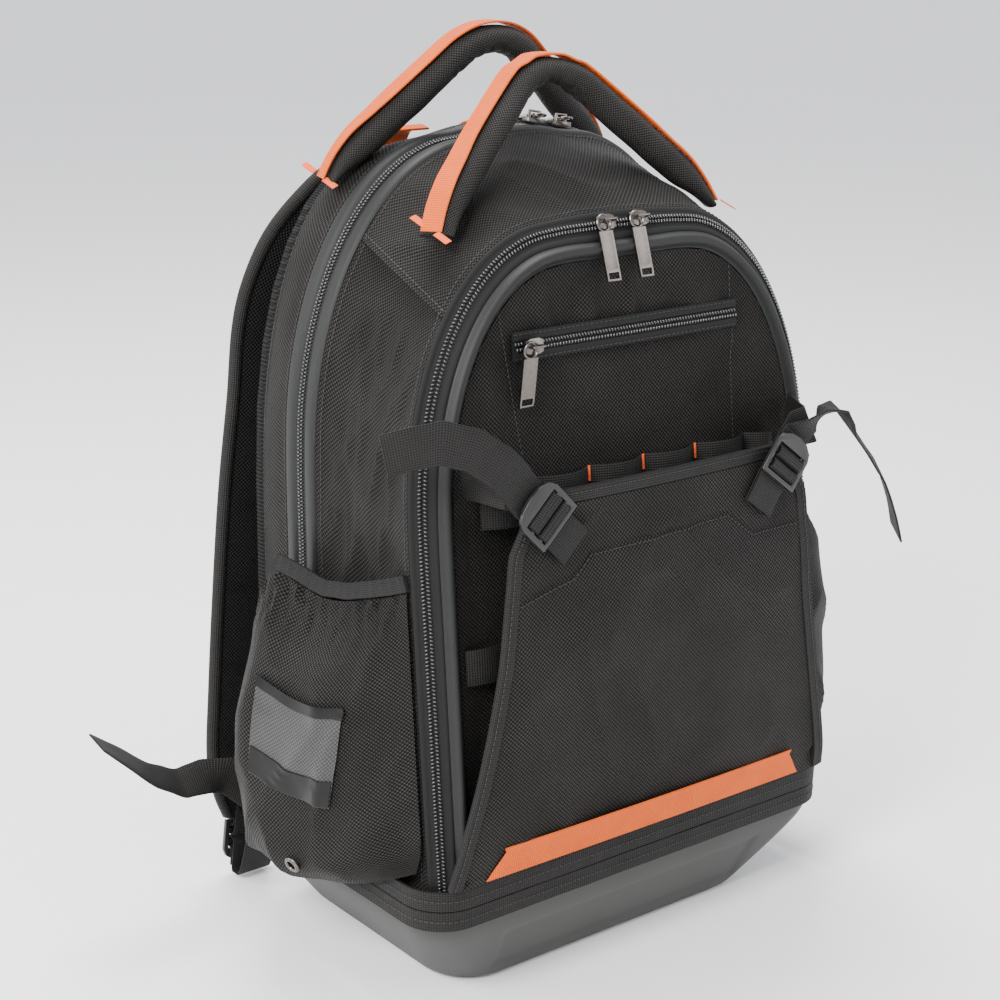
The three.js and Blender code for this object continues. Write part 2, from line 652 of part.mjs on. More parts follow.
// Middle of a zip's tape at a distance from the crown, with its outward direction and its slope.
function tapeAt(first, second, x) {
  const shares = archShares(0.5, 1);
  const middle = shares.map((share) => onArch(first, share).lerp(onArch(second, share), 0.5));
  const k = Math.max(1, middle.findIndex((p) => p.x >= Math.abs(x)));
  const step = middle[k].clone().sub(middle[k - 1]);
  const at = middle[k - 1].clone().addScaledVector(step, (Math.abs(x) - middle[k - 1].x) / step.x);
  at.x = x;
  const run = onArch(second, shares[k]).sub(onArch(first, shares[k]));
  const out = vec(0, -run.z, run.y).normalize();
  return { at, out, slope: Math.sign(x) * Math.atan(-step.z / step.x) };
}

function addSliders() {
  const degrees = THREE.MathUtils.degToRad;
  for (const [side, sign] of SIDES) {
    const front = tapeAt('piping', 'frontEdge', FRONT_SLIDERS.centre + sign * FRONT_SLIDERS.spread);
    const place = front.at.addScaledVector(front.out, COIL.height + GAP + FRONT_SLIDERS.seat);
    addZipper(`front_zip_${side}`, place, new THREE.Euler(-degrees(FRONT_SLIDERS.tilt), 0, 0));
  }
  const { across, spread } = MAIN_SLIDERS;
  for (const [side, sign] of SIDES) {
    const main = tapeAt('mainEdge', 'backSeam', across * SHELL.halfWidth + sign * spread);
    const tapeTilt = Math.abs(main.out.y / main.out.z);
    const place = main.at.addScaledVector(vec(0, 0, 1), COIL.height + GAP + (SLIDER.width / 2) * tapeTilt);
    addZipper(`main_zip_${side}`, place, new THREE.Euler(-Math.PI / 2, -main.slope, Math.PI, 'ZYX'));
  }
  const small = onFront(
    -POCKET_ZIP.half + SLIDER.length / 2 + POCKET_SLIDER_INSET, POCKET_ZIP_Z,
    GAP * 2 + POCKET_ZIP.thick + COIL.height,
  );
  addZipper('pocket_zip', small, new THREE.Euler(-Math.atan(ARCHES.panel.lean), 0, 0));
}

addSliders();

// Front flap: a stiff sheet sewn in at the trim, standing off the front panel, bound round its edge

const FLAP_Y = BASE.front - 2 * GAP;
const FLAP_COLUMNS = 6;

// Outer face of the flap at a place.
function flapY(x, z) {
  const rise = (z - FLAP.base) / FLAP.height;
  const half = FLAP.half * tableAt(FLAP_ROWS, 'rise', rise, 'half');
  const proud = FLAP.proud * tableAt(FLAP_ROWS, 'rise', rise, 'proud');
  return FLAP_Y - proud * (1 - FLAP.curl * (x / half) ** 2);
}

const onFlap = (x, z, lift) => vec(x, flapY(x, z) - lift, z);

// The flap's left outline from the hem to the middle of its top edge, moved in by a distance.
function flapEdge(inset) {
  const points = FLAP_ROWS.map((row) => (
    new THREE.Vector2(-FLAP.half * row.half, FLAP.base + FLAP.height * row.rise)
  ));
  points.push(new THREE.Vector2(0, FLAP_TOP));
  return points.map((point, i) => {
    const before = point.clone().sub(points[Math.max(i - 1, 0)]).normalize();
    const after = points[Math.min(i + 1, points.length - 1)].clone().sub(point).normalize();
    const first = i === 0 ? after : before;
    const second = i === points.length - 1 ? before : after;
    const n1 = new THREE.Vector2(first.y, -first.x);
    const n2 = new THREE.Vector2(second.y, -second.x);
    const moved = point.clone().addScaledVector(n1.clone().add(n2), inset / (1 + n1.dot(n2)));
    if (i === 0) moved.y = FLAP.base;
    return moved;
  });
}

function frontFlap() {
  const rows = flapEdge(FLAP.binding).slice(0, -1).map((p) => (
    range(FLAP_COLUMNS + 1, (j) => onFlap(mix(p.x, -p.x, j / FLAP_COLUMNS), p.y, 0))
  ));
  return sheet(rows, FLAP.thick, () => vec(0, 1, 0));
}

function flapBinding() {
  const edge = flapEdge(FLAP.binding / 2);
  edge[0].y += FLAP.bindingThick / 3;
  const left = edge.slice(0, -1);
  const corner = left[left.length - 1];
  const top = [-0.6, -0.2, 0.2, 0.6].map((share) => new THREE.Vector2(share * Math.abs(corner.x), corner.y));
  const right = [...left].reverse().map((p) => new THREE.Vector2(-p.x, p.y));
  const path = [...left, ...top, ...right];
  return ribbon(path.map((p, i) => {
    const before = path[Math.max(i - 1, 0)];
    const after = path[Math.min(i + 1, path.length - 1)];
    return { at: onFlap(p.x, p.y, -FLAP.thick / 2), side: vec(after.y - before.y, 0, before.x - after.x) };
  }), FLAP.binding - 2 * GAP, FLAP.bindingThick);
}

function flapStripe() {
  const low = FLAP.base + STRIPE.rise;
  const edges = [{ z: low, half: STRIPE.low }, { z: low + STRIPE.height, half: STRIPE.high }];
  const rows = edges.map(({ z, half }) => range(FLAP_COLUMNS + 1, (j) => (
    onFlap(FLAP.half * half * mix(-1, 1, j / FLAP_COLUMNS), z, STRIPE.lift + STRIPE.thick)
  )));
  return sheet(rows, STRIPE.thick, () => vec(0, 1, 0));
}

add('front_flap', frontFlap(), FABRIC);
add('flap_binding', flapBinding(), WEB);
add('flap_stripe', flapStripe(), ORANGE);

// Webbing loops for tools on the front panel, under the flap's top edge and beside it

function loopBand(places, z, height, bulge) {
  const lift = GAP + WEBBING / 2;
  const steps = 4;
  const stops = places.slice(0, -1).flatMap((from, i) => range(steps, (j) => {
    const share = j / steps;
    const x = mix(from, places[i + 1], share);
    return { at: onFront(x, z, lift + bulge * Math.sin(Math.PI * share)), side: FRONT_UP };
  }));
  stops.push({ at: onFront(places[places.length - 1], z, lift), side: FRONT_UP });
  return ribbon(stops, height, WEBBING);
}

const bartacks = LOOP_BAND.stops.map((share) => share * ARCHES.panel.half);
add('tool_loop_band', loopBand(bartacks, FLAP_TOP - LOOP_BAND.drop, LOOP_BAND.height, LOOP_BAND.bulge), WEB);
for (const [side, sign] of SIDES) {
  const places = [SIDE_LOOP.near, SIDE_LOOP.far].map((share) => sign * share * ARCHES.panel.half);
  const z = FLAP.base + SIDE_LOOP.rise * FLAP.height;
  add(`side_loop_${side}`, loopBand(places, z, SIDE_LOOP.height, SIDE_LOOP.bulge), WEB);
}

// Ladder-lock buckles, each on a sewn tab, with the strap that runs through it

function frameAt(centre, along, out) {
  const u = along.clone().normalize();
  const n = out.clone().addScaledVector(u, -out.dot(u)).normalize();
  const w = n.clone().cross(u);
  return { centre, u, n, w };
}

function inFrame(frame, along, out) {
  return frame.centre.clone().addScaledVector(frame.u, along).addScaledVector(frame.n, out);
}

function buckleSolid() {
  const { rim, far, near, plate, end, thick } = BUCKLE;
  const half = BUCKLE.width / 2;
  const slot = BUCKLE.slot / 2;
  const bow = range(7, (i) => {
    const angle = -Math.PI / 2 + (Math.PI * i) / 6;
    return [plate + (end - plate) * Math.cos(angle), half * Math.sin(angle)];
  });
  const face = extruded(outline([[rim[0], -half], ...bow, [rim[0], half]], thick)).translate(0, 0, -thick / 2);
  const slots = [[rim[1], far[0]], [far[1], near[0]], [near[1], plate]].map(([from, to]) => (
    new THREE.BoxGeometry(to - from, 2 * slot, 3 * thick).translate((from + to) / 2, 0, 0)
  ));
  return fromSolid(slots.map(toSolid).reduce((body, cut) => body.subtract(cut), toSolid(face)));
}

function addBuckle(name, frame) {
  const mesh = add(name, buckleSolid(), PLASTIC, 0.4);
  const basis = new THREE.Matrix4().makeBasis(frame.u, frame.w, frame.n).setPosition(frame.centre);
  mesh.applyMatrix4(basis);
}

// Webbing laid round a buckle's bar: distances along the strap from the bar and out of the plate,
// as shares of the loop's reach.
const WRAP = BUCKLE.thick / 2 + 3 * GAP + WEBBING / 2;
const TAB_LOOP = [
  { along: -2.58, out: -1.68 },
  { along: -0.19, out: -1.52 },
  { along: 0.71, out: -0.90 },
  { along: 1.00, out: 0.00 },
  { along: 0.68, out: 0.81 },
  { along: 0.00, out: 1.00 },
  { along: -0.68, out: 0.81 },
  { along: -1.00, out: 0.00 },
  { along: -1.35, out: -0.94 },
  { along: -2.39, out: -1.03 },
];
const STRAP_LOOP = [
  { along: 6.32, out: -1.94 },
  { along: 3.10, out: -1.74 },
  { along: -0.13, out: -1.68 },
  { along: -0.87, out: -1.42 },
  { along: -1.08, out: -0.48 },
  { along: -1.00, out: 0.48 },
  { along: -0.45, out: 0.94 },
  { along: 0.45, out: 0.94 },
  { along: 1.06, out: 0.48 },
  { along: 1.24, out: -0.23 },
  { along: 1.71, out: -0.84 },
  { along: 2.77, out: -1.03 },
  { along: 5.35, out: -1.10 },
];

function laid(frame, places, bar) {
  const centre = (bar[0] + bar[1]) / 2;
  return places.map(({ along, out }) => ({ at: inFrame(frame, centre + along * WRAP, out * WRAP), side: frame.w }));
}

// The sewn tab's two layers lie on the flap, below the buckle.
const FLAP_TAB = { end: 36, near: 20, under: GAP + WEBBING / 2 + 0.3, over: WEBBING + 2.3 };

function flapTab(frame) {
  const at = (distance, lift) => {
    const p = inFrame(frame, -distance, 0);
    return { at: onFlap(p.x, p.z, lift), side: frame.w };
  };
  const { end, near, under, over } = FLAP_TAB;
  const below = [at(end, under), at(near, under + GAP)];
  const above = [at(near + 1, over), at(end, WEBBING * 1.5 + GAP * 3)];
  return ribbon([...below, ...laid(frame, TAB_LOOP, BUCKLE.far), ...above], STRAP_WIDTH, WEBBING);
}

// Free ends of the straps: distances from the buckle outwards, to the front and up, and the
// direction across the webbing.
const FREE_TAILS = {
  left: [
    { out: 29, front: 0, up: 30, side: [0.75, 0, 0.66] },
    { out: 46, front: -5, up: 43, side: [0.5, 0.05, 0.86] },
    { out: 64, front: -11, up: 49, side: [0.15, 0.05, 1] },
    { out: 82, front: -17, up: 47, side: [-0.05, 0, 1] },
    { out: 95, front: -23, up: 44, side: [-0.15, 0, 1] },
  ],
  right: [
    { out: 16, front: 4, up: 20, side: [-0.72, -0.45, 0.53] },
    { out: 23, front: 6, up: 26, side: [-0.6, -0.72, 0.35] },
    { out: 32, front: 6, up: 28.5, side: [-0.45, -0.88, 0.1] },
    { out: 43, front: 4, up: 24, side: [-0.42, -0.9, -0.1] },
    { out: 56, front: -3, up: 13, side: [-0.42, -0.88, -0.22] },
    { out: 76, front: -8, up: -3, side: [-0.42, -0.84, -0.35] },
    { out: 99, front: -10, up: -28, side: [-0.45, -0.8, -0.35] },
    { out: 116, front: -13, up: -55, side: [-0.5, -0.8, -0.3] },
    { out: 125, front: -15, up: -75, side: [-0.5, -0.8, -0.2] },
  ],
};

// The strap's sewn end on the front panel and its way to the buckle
const ANCHOR = { across: 0.956, up: 8, lift: 2.26, side: 0.16, middle: 0.883, forward: 9, turned: -0.45 };

function flapStrap(side, sign, frame) {
  const z = FLAP_TOP + ANCHOR.up;
  const half = sign * ARCHES.panel.half;
  const start = { at: onFront(half * ANCHOR.across, z, ANCHOR.lift), side: vec(sign * ANCHOR.side, 0, 1) };
  const forward = vec(half * ANCHOR.middle, FLAP_Y - ANCHOR.forward, z);
  const middle = { at: forward, side: vec(sign * ANCHOR.turned, 0, 0.9) };
  const facing = side === 'right' ? 1 : -1;
  const turned = laid(frame, STRAP_LOOP, BUCKLE.near).map((stop) => (
    { at: stop.at, side: frame.w.clone().multiplyScalar(facing) }
  ));
  const tail = FREE_TAILS[side].map((stop) => ({
    at: frame.centre.clone().add(vec(sign * stop.out, -stop.front, stop.up)), side: vec(...stop.side),
  }));
  return ribbon([start, middle, ...turned, ...tail], STRAP_WIDTH, WEBBING);
}

for (const [side, sign] of SIDES) {
  const { across, along } = BUCKLES[side];
  const x = across * FLAP.half * FLAP_ROWS[FLAP_ROWS.length - 1].half;
  const centre = onFlap(x, FLAP_TOP - BUCKLE.drop, BUCKLE.lift);
  const frame = frameAt(centre, vec(along[0], 0, along[1]), vec(0, -1, 0));
  addBuckle(`buckle_${side}`, frame);
  add(`flap_tab_${side}`, flapTab(frame), WEB);
  add(`flap_strap_${side}`, flapStrap(side, sign, frame), WEB);
}

// Side pockets: bags gathered by an elastic hem at the mouth, hanging over the trim

const POCKET_TRIM_X = BASE.halfWidth + GAP + TRIM.thick + GAP;

function pocketPoint(side, along, down) {
  const column = (name) => tableAt(POCKET_ROWS, 'along', along, name);
  const z = POCKET.low + POCKET.height * mix(column('rim'), column('hem'), down);
  const overTrim = THREE.MathUtils.smoothstep(TRIM.high + POCKET.overTrim - z, 0, POCKET.overTrim);
  const wallX = column('wall') * BASE.halfWidth;
  const base = mix(wallX, Math.max(wallX, POCKET_TRIM_X + THIN_CLOTH), overTrim);
  const out = base + POCKET.bulge * column(side) * tableAt(POCKET_FALL, 'down', down, 'out');
  const arch = ARCHES.frontEdge;
  const front = arch.y + arch.lean * (z - HEM) + 1.5;
  return vec(side === 'left' ? -out : out, mix(front, POCKET.back, along), z);
}

const POCKET_IN = vec(0, INSIDE.y, POCKET.low + POCKET.height / 2);

function pocketPatch(side, alongs, downs, lift, thick) {
  const rows = alongs.map((along) => downs.map((down) => pocketPoint(side, along, down)));
  const normals = gridNormals(rows, POCKET_IN);
  const lifted = rows.map((row, i) => row.map((p, j) => p.clone().addScaledVector(normals[i][j], -lift)));
  return sheet(lifted, thick, (i, j) => normals[i][j]);
}

const knots = (rows, key, from, to) => [
  from, ...rows.map((row) => row[key]).filter((at) => at > from + 0.01 && at < to - 0.01), to,
];

function sidePocket(side) {
  return pocketPatch(side, knots(POCKET_ROWS, 'along', 0, 1), knots(POCKET_FALL, 'down', 0, 1), 0, THIN_CLOTH);
}

function elasticHem(side) {
  const rows = POCKET_ROWS.slice(0, POCKET.elasticRows + 1);
  return ribbon(rows.map(({ along }) => {
    const rim = pocketPoint(side, along, 0);
    const up = rim.clone().sub(pocketPoint(side, along, 0.08)).normalize();
    return { at: rim.addScaledVector(up, POCKET.elastic / 2 + 3 * GAP), side: up };
  }), POCKET.elastic, POCKET.elasticThick);
}

function eyelet(side) {
  const { along, down, outer, inner, thick, lift } = EYELET;
  const at = pocketPoint(side, along, down);
  const step = 0.02;
  const rows = [-1, 1].map((i) => [-1, 1].map((j) => pocketPoint(side, along + step * i, down + step * j)));
  const out = gridNormals(rows, POCKET_IN)[0][0].negate();
  const profile = [[inner, 0], [outer, 0], [outer, thick * 0.5], [outer - 1, thick], [inner + 0.6, thick],
    [inner, thick * 0.6], [inner, 0]];
  const ring = new THREE.LatheGeometry(profile.map(([x, y]) => new THREE.Vector2(x, y)), 16);
  const turn = new THREE.Quaternion().setFromUnitVectors(vec(0, 1, 0), out);
  return ring.applyQuaternion(turn).translate(...at.addScaledVector(out, lift).toArray());
}

for (const [side] of SIDES) {
  add(`side_pocket_${side}`, sidePocket(side), FABRIC);
  add(`pocket_elastic_${side}`, elasticHem(side), ZIP, 0.7);
  add(`eyelet_${side}`, eyelet(side), NICKEL, 0.35, 0.9);
}

// Identity window on the left pocket: clear sheet, blank label strip and dark top band

function windowPatch({ from, to, high, low, lift, thick }) {
  const alongs = knots(POCKET_ROWS, 'along', from, to);
  return pocketPatch('left', alongs, knots(POCKET_FALL, 'down', high, low), lift, thick);
}

add('id_window', windowPatch(WINDOW), 0x8c8f8f, 0.15);
add('id_label', windowPatch(WINDOW_LABEL), 0x080808, 0.3);
add('id_band', windowPatch(WINDOW_BAND), 0x080808, 0.3);

// Carrying handles: padded sleeves with webbing along their outer side

function handleStops({ footDown, apexUp, footBehind, apexBehind, slope }) {
  const half = HANDLE_ROWS.map(({ out, rise, thick }) => ({
    at: vec(
      -HANDLE.foot * out,
      BASE.front + mix(footBehind, apexBehind, rise),
      SHELL.top + mix(-footDown, apexUp, rise),
    ),
    thick,
    lean: slope * THREE.MathUtils.clamp(1 - rise * 2, 0, 1),
  }));
  const right = [...half].reverse().map((stop) => ({ ...stop, at: vec(-stop.at.x, stop.at.y, stop.at.z) }));
  const stops = [...half, ...right];
  return stops.map((stop, i) => {
    const before = stops[Math.max(i - 1, 0)].at;
    const after = stops[Math.min(i + 1, stops.length - 1)].at;
    const along = after.clone().sub(before).normalize();
    const level = vec(0, 1, stop.lean);
    const deep = level.addScaledVector(along, -along.dot(level)).normalize();
    return { ...stop, deep, out: deep.clone().cross(along).negate() };
  });
}

function handleSleeve(handle) {
  const sides = 10;
  return loft(handleStops(handle).map(({ at, thick, deep, out }) => range(sides, (i) => {
    const angle = (2 * Math.PI * i) / sides;
    return at.clone().addScaledVector(deep, HANDLE.deep * Math.cos(angle))
      .addScaledVector(out, HANDLE.thick * thick * Math.sin(angle));
  })));
}

function handleWebbing(handle) {
  return ribbon(handleStops(handle).map(({ at, thick, deep, out }) => ({
    at: at.clone().addScaledVector(out, HANDLE.thick * thick + HANDLE.lift + WEBBING / 2), side: deep,
  })), HANDLE.webbing, WEBBING);
}

for (const [name, handle] of Object.entries(HANDLES)) {
  add(`handle_${name}`, handleSleeve(handle), FABRIC);
  add(`handle_webbing_${name}`, handleWebbing(handle), ORANGE);
}

// Shoulder straps, hanging behind the padded back, each with a ladder lock at its lower end

const TRIM_BACK = BASE.back + GAP + TRIM.thick;
const backFace = (z) => ARCHES.backEdge.y + ARCHES.backEdge.lean * (z - HEM) + GAP + BACK_PAD.thick;

function strapStops(sign) {
  return STRAP_ROWS.map(({ rise, x, off, width }) => {
    const z = mix(STRAP.low, STRAP.high, rise);
    const y = backFace(z) + GAP + STRAP.thick / 2 + STRAP.off * off;
    return { at: vec(sign * x * BASE.halfWidth, y, z), width: STRAP.width * width };
  });
}

function strapPad(stops) {
  const rings = stops.map(({ at, width }, i) => {
    const along = stops[Math.min(i + 1, stops.length - 1)].at.clone().sub(stops[Math.max(i - 1, 0)].at).normalize();
    const side = vec(1, 0, 0).addScaledVector(along, -along.x).normalize();
    const up = along.clone().cross(side).normalize();
    const half = width / 2;
    const flat = half - STRAP.round;
    const deep = STRAP.thick / 2;
    const rim = deep * STRAP.edge;
    const section = [[-half, -rim], [-flat, -deep], [flat, -deep], [half, -rim],
      [half, rim], [flat, deep], [-flat, deep], [-half, rim]];
    return section.map(([a, b]) => at.clone().addScaledVector(side, a).addScaledVector(up, b));
  });
  return loft(rings);
}

// Webbing from the base's corner to the ladder lock: distance from the middle as a share of the
// base's half-width, distance behind the trim, and height as a share of the base's.
const CORNER_ROUTE = [
  { x: 0.886, back: GAP + WEBBING / 2, z: 1.054 },
  { x: 0.886, back: 1.5 * GAP + WEBBING / 2, z: 0.81 },
  { x: 0.886, back: 9.3, z: 0.51 },
  { x: 0.880, back: 18.3, z: 0.216 },
  { x: 0.874, back: 25.3, z: 0.068 },
];

for (const [side, sign] of SIDES) {
  const stops = strapStops(sign);
  const end = stops[stops.length - 1].at;
  const { out, below, tail, along } = LOWER_LOCK;
  const centre = end.clone().add(vec(sign * out, 0, -below));
  const frame = frameAt(centre, vec(sign * along[0], 0, along[1]), vec(0, 1, 0));
  const sewn = ({ out: lift }) => ({ at: inFrame(frame, tail, lift * WRAP), side: frame.w });
  const turn = laid(frame, TAB_LOOP, BUCKLE.far);
  const loop = ribbon([sewn(TAB_LOOP[0]), ...turn, sewn(TAB_LOOP[TAB_LOOP.length - 1])], STRAP_WIDTH, WEBBING);
  add(`shoulder_strap_${side}`, joined(strapPad(stops), loop), FABRIC);
  addBuckle(`strap_buckle_${side}`, frame);
  const corner = CORNER_ROUTE.map(({ x, back, z }) => (
    { at: vec(sign * x * BASE.halfWidth, TRIM_BACK + back, z * BASE.height), side: vec(1, 0, 0) }
  ));
  const turned = laid(frame, STRAP_LOOP, BUCKLE.near).map((stop) => (
    { at: stop.at, side: stop.side.clone().multiplyScalar(Math.sign(stop.side.x)) }
  ));
  add(`strap_webbing_${side}`, ribbon([...corner, ...turned], STRAP_WIDTH, WEBBING), WEB);
  add(`strap_yoke_${side}`, ribbon(YOKE.rows.map(({ back, down }) => (
    { at: vec(sign * YOKE.x, backFace(SHELL.top) + back, SHELL.top - down), side: vec(1, 0, 0) }
  )), STRAP_WIDTH, WEBBING), ORANGE);
}

// Waist webbing, its left end lifted beside the pack and its right end drooping behind it: distances
// out from the base's half-width, behind the trim and up from the base's rim, and the direction across.
const WAIST_ROUTES = {
  left: [
    { out: -33, back: 3.1, up: 0.5, side: [0, 0, 1] },
    { out: -7, back: 4.8, up: 2.5, side: [0, 0, 1] },
    { out: 6, back: 9.3, up: 15, side: [0, 0.15, 1] },
    { out: 22, back: 11.3, up: 18, side: [0, 0.7, 0.7] },
    { out: 41, back: 11.3, up: 18, side: [0, 0.85, 0.5] },
    { out: 62, back: 11.3, up: 30, side: [0.2, 0.9, 0.3] },
    { out: 80, back: 11.3, up: 46, side: [0.2, 0.95, 0.2] },
    { out: 99, back: 11.3, up: 62, side: [0.1, 1, 0.1] },
  ],
  right: [
    { out: -33, back: 3.1, up: 1, side: [0, 0, 1] },
    { out: -6, back: 4.3, up: 3, side: [0, 0, 1] },
    { out: 9, back: 11.3, up: -6, side: [0.4, 0.3, 0.8] },
    { out: 17, back: 15.3, up: -28, side: [0.3, 0.9, 0.2] },
    { out: 20, back: 17.3, up: -50, side: [0.2, 1, 0] },
    { out: 22, back: 18.3, up: -70, side: [0.1, 1, 0] },
  ],
};

for (const [side, sign] of SIDES) {
  const stops = WAIST_ROUTES[side].map(({ out, back, up, side: across }) => (
    { at: vec(sign * (BASE.halfWidth + out), TRIM_BACK + back, BASE.height + up), side: vec(...across) }
  ));
  add(`waist_strap_${side}`, ribbon(stops, STRAP_WIDTH, WEBBING), WEB);
}

export default pack;
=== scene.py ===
"""Tool backpack: cloth, webbing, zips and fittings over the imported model. Metres, +Z up, front to -Y."""

import json
import math

import bmesh
import bpy
from mathutils import Matrix, Vector, noise
from mathutils.bvhtree import BVHTree


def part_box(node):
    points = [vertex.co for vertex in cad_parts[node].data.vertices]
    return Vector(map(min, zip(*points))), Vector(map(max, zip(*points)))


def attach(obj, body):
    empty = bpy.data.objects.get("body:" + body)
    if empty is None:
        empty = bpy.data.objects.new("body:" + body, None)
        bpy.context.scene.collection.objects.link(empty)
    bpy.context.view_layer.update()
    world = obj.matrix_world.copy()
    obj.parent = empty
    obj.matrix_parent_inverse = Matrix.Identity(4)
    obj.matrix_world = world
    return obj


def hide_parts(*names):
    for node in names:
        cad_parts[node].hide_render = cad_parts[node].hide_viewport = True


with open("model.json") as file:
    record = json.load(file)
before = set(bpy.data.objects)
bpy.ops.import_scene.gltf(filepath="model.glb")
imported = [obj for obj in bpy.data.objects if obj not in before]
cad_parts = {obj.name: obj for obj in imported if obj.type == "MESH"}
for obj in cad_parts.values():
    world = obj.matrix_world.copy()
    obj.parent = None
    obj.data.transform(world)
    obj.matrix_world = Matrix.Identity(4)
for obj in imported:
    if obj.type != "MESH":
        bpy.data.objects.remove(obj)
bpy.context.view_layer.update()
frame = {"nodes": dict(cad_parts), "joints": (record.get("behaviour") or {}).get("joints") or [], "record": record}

MM = 0.001
# A point in the middle of the bag, which its walls face away from
INSIDE = Vector((0, -0.0125, 0.255))
# The front wall leans back: the ways up along it and out of it
FRONT_UP = Vector((0, 0.09, 1)).normalized()
FRONT_OUT = Vector((0, -1, 0.09)).normalized()

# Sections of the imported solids


def sections_of(node, size, slope=None):
    """The node's sections from end to end, each with its points in matching order."""
    bm = bmesh.new()
    bm.from_mesh(frame["nodes"][node].data)
    bmesh.ops.remove_doubles(bm, verts=bm.verts, dist=1e-5)
    bm.normal_update()
    bm.verts.index_update()
    if slope is not None:
        ends = [set(sorted(bm.verts, key=lambda v: v.co.y - v.co.z * slope)[:size])]
    else:
        ends = (flat_patch(seed, bend, size) for seed in bm.faces for bend in (0.02, 0.5))
    for end in ends:
        layers = layers_from(end, size) if end else None
        if layers and len(layers) * size == len(bm.verts):
            rings = [rim_of(end)]
            for layer in layers[1:]:
                rings.append(matched(rings[-1], layer))
            return [[vert.co.copy() for vert in ring] for ring in rings]
    raise ValueError(f"{node} isn't made of sections of {size} points")


def flat_patch(seed, bend, size):
    """Points of an end face, grown from one of its triangles."""
    patch, todo = {seed}, [seed]
    while todo and len({v for f in patch for v in f.verts}) <= size:
        face = todo.pop()
        near = {g for e in face.edges for g in e.link_faces if g not in patch}
        grown = [g for g in near if g.normal.angle(face.normal, 3) < bend]
        patch.update(grown)
        todo += grown
    verts = {v for f in patch for v in f.verts}
    return verts if len(verts) == size and len(patch) == size - 2 else None


def layers_from(end, size):
    layers = [end]
    seen = set(end)
    while True:
        near = {e.other_vert(v) for v in layers[-1] for e in v.link_edges} - seen
        if not near:
            return layers
        if len(near) != size:
            return None
        layers.append(near)
        seen |= near


def rim_of(end):
    """An end's points in order round its border."""
    def on_border(edge):
        inside = sum(end.issuperset(face.verts) for face in edge.link_faces)
        return inside == 1 and end.issuperset(edge.verts)

    order = [min(end, key=lambda v: v.index)]
    while len(order) < len(end):
        near = [e.other_vert(order[-1]) for e in order[-1].link_edges if on_border(e)]
        order.append(min((v for v in near if v not in order), key=lambda v: v.index))
    return order


def joins(a, b):
    return any(e.other_vert(a) is b for e in a.link_edges)


def matched(ring, layer):
    """The next section's points, each the one beside the ring's own point."""
    near = [[e.other_vert(v) for e in v.link_edges if e.other_vert(v) in layer] for v in ring]
    best = None
    for first in near[0]:
        for second in near[1]:
            order = [first, second] if joins(first, second) else []
            while 2 <= len(order) < len(ring):
                rest = [w for w in near[len(order)] if w not in order and joins(w, order[-1])]
                aim = ring[len(order)].co
                order = [*order, min(rest, key=lambda w: (w.co - aim).length)] if rest else []
            if order:
                cost = sum((a.co - b.co).length for a, b in zip(ring, order))
                if best is None or cost < best[0]:
                    best = (cost, order)
    return best[1]


def middle(points):
    return sum(points, Vector()) / len(points)


def blended(a, b, share):
    return a + (b - a) * share


def eased(value, low, high):
    share = min(1.0, max(0.0, (value - low) / (high - low)))
    return share * share * (3 - 2 * share)


def drawn_out(rows, step):
    """Rows of points, filled in by a smooth curve at even steps along them."""
    marks = [0.0]
    for before, after in zip(rows, rows[1:]):
        marks.append(marks[-1] + max(1e-7, (middle(after) - middle(before)).length))
    count = max(2, round(marks[-1] / step))
    last = len(rows) - 1

    def pull(n, span):
        low, high = max(0, n - 1), min(last, n + 1)
        share = span / (marks[high] - marks[low])
        return [(b - a) * share for a, b in zip(rows[low], rows[high])]

    made, k = [], 0
    for i in range(count + 1):
        at = marks[-1] * i / count
        while k < last - 1 and marks[k + 1] < at:
            k += 1
        span = marks[k + 1] - marks[k]
        t = (at - marks[k]) / span
        made.append([
            a * (2 * t ** 3 - 3 * t ** 2 + 1) + m * (t ** 3 - 2 * t ** 2 + t)
            + b * (3 * t ** 2 - 2 * t ** 3) + n * (t ** 3 - t ** 2)
            for a, b, m, n in zip(rows[k], rows[k + 1], pull(k, span), pull(k + 1, span))
        ])
    return made


def along_curve(points, count, loop=False):
    """A smooth curve through points, at evenly spread places."""
    size = len(points)

    def pick(n):
        return points[n % size] if loop else points[min(max(n, 0), size - 1)]

    made = []
    for i in range(count):
        at = i / count * size if loop else i / (count - 1) * (size - 1)
        k = min(int(at), size - 1 if loop else size - 2)
        t = at - k
        a, b, c, d = (pick(k + n) for n in (-1, 0, 1, 2))
        made.append(b + (c - a) * (t / 2) + (a * 2 - b * 5 + c * 4 - d) * (t * t / 2)
                    + (b * 3 - a - c * 3 + d) * (t ** 3 / 2))
    return made


def faces_of_wall(rings):
    """Each section of a wall as its outer points and the inner points behind them."""
    size = len(rings[0])
    half = size // 2
    ring = rings[len(rings) // 2]

    def turned(k, row):
        row = row[k:] + row[:k]
        return row[:half], row[half:][::-1]

    def fit(k):
        outer, inner = turned(k, ring)
        return sum((a - b).length for a, b in zip(outer, inner))

    best = min(range(half), key=fit)
    outer, inner = turned(best, ring)
    if sum((a - INSIDE).length - (b - INSIDE).length for a, b in zip(outer, inner)) < 0:
        best += half
    return [turned(best, row) for row in rings]


# Meshes


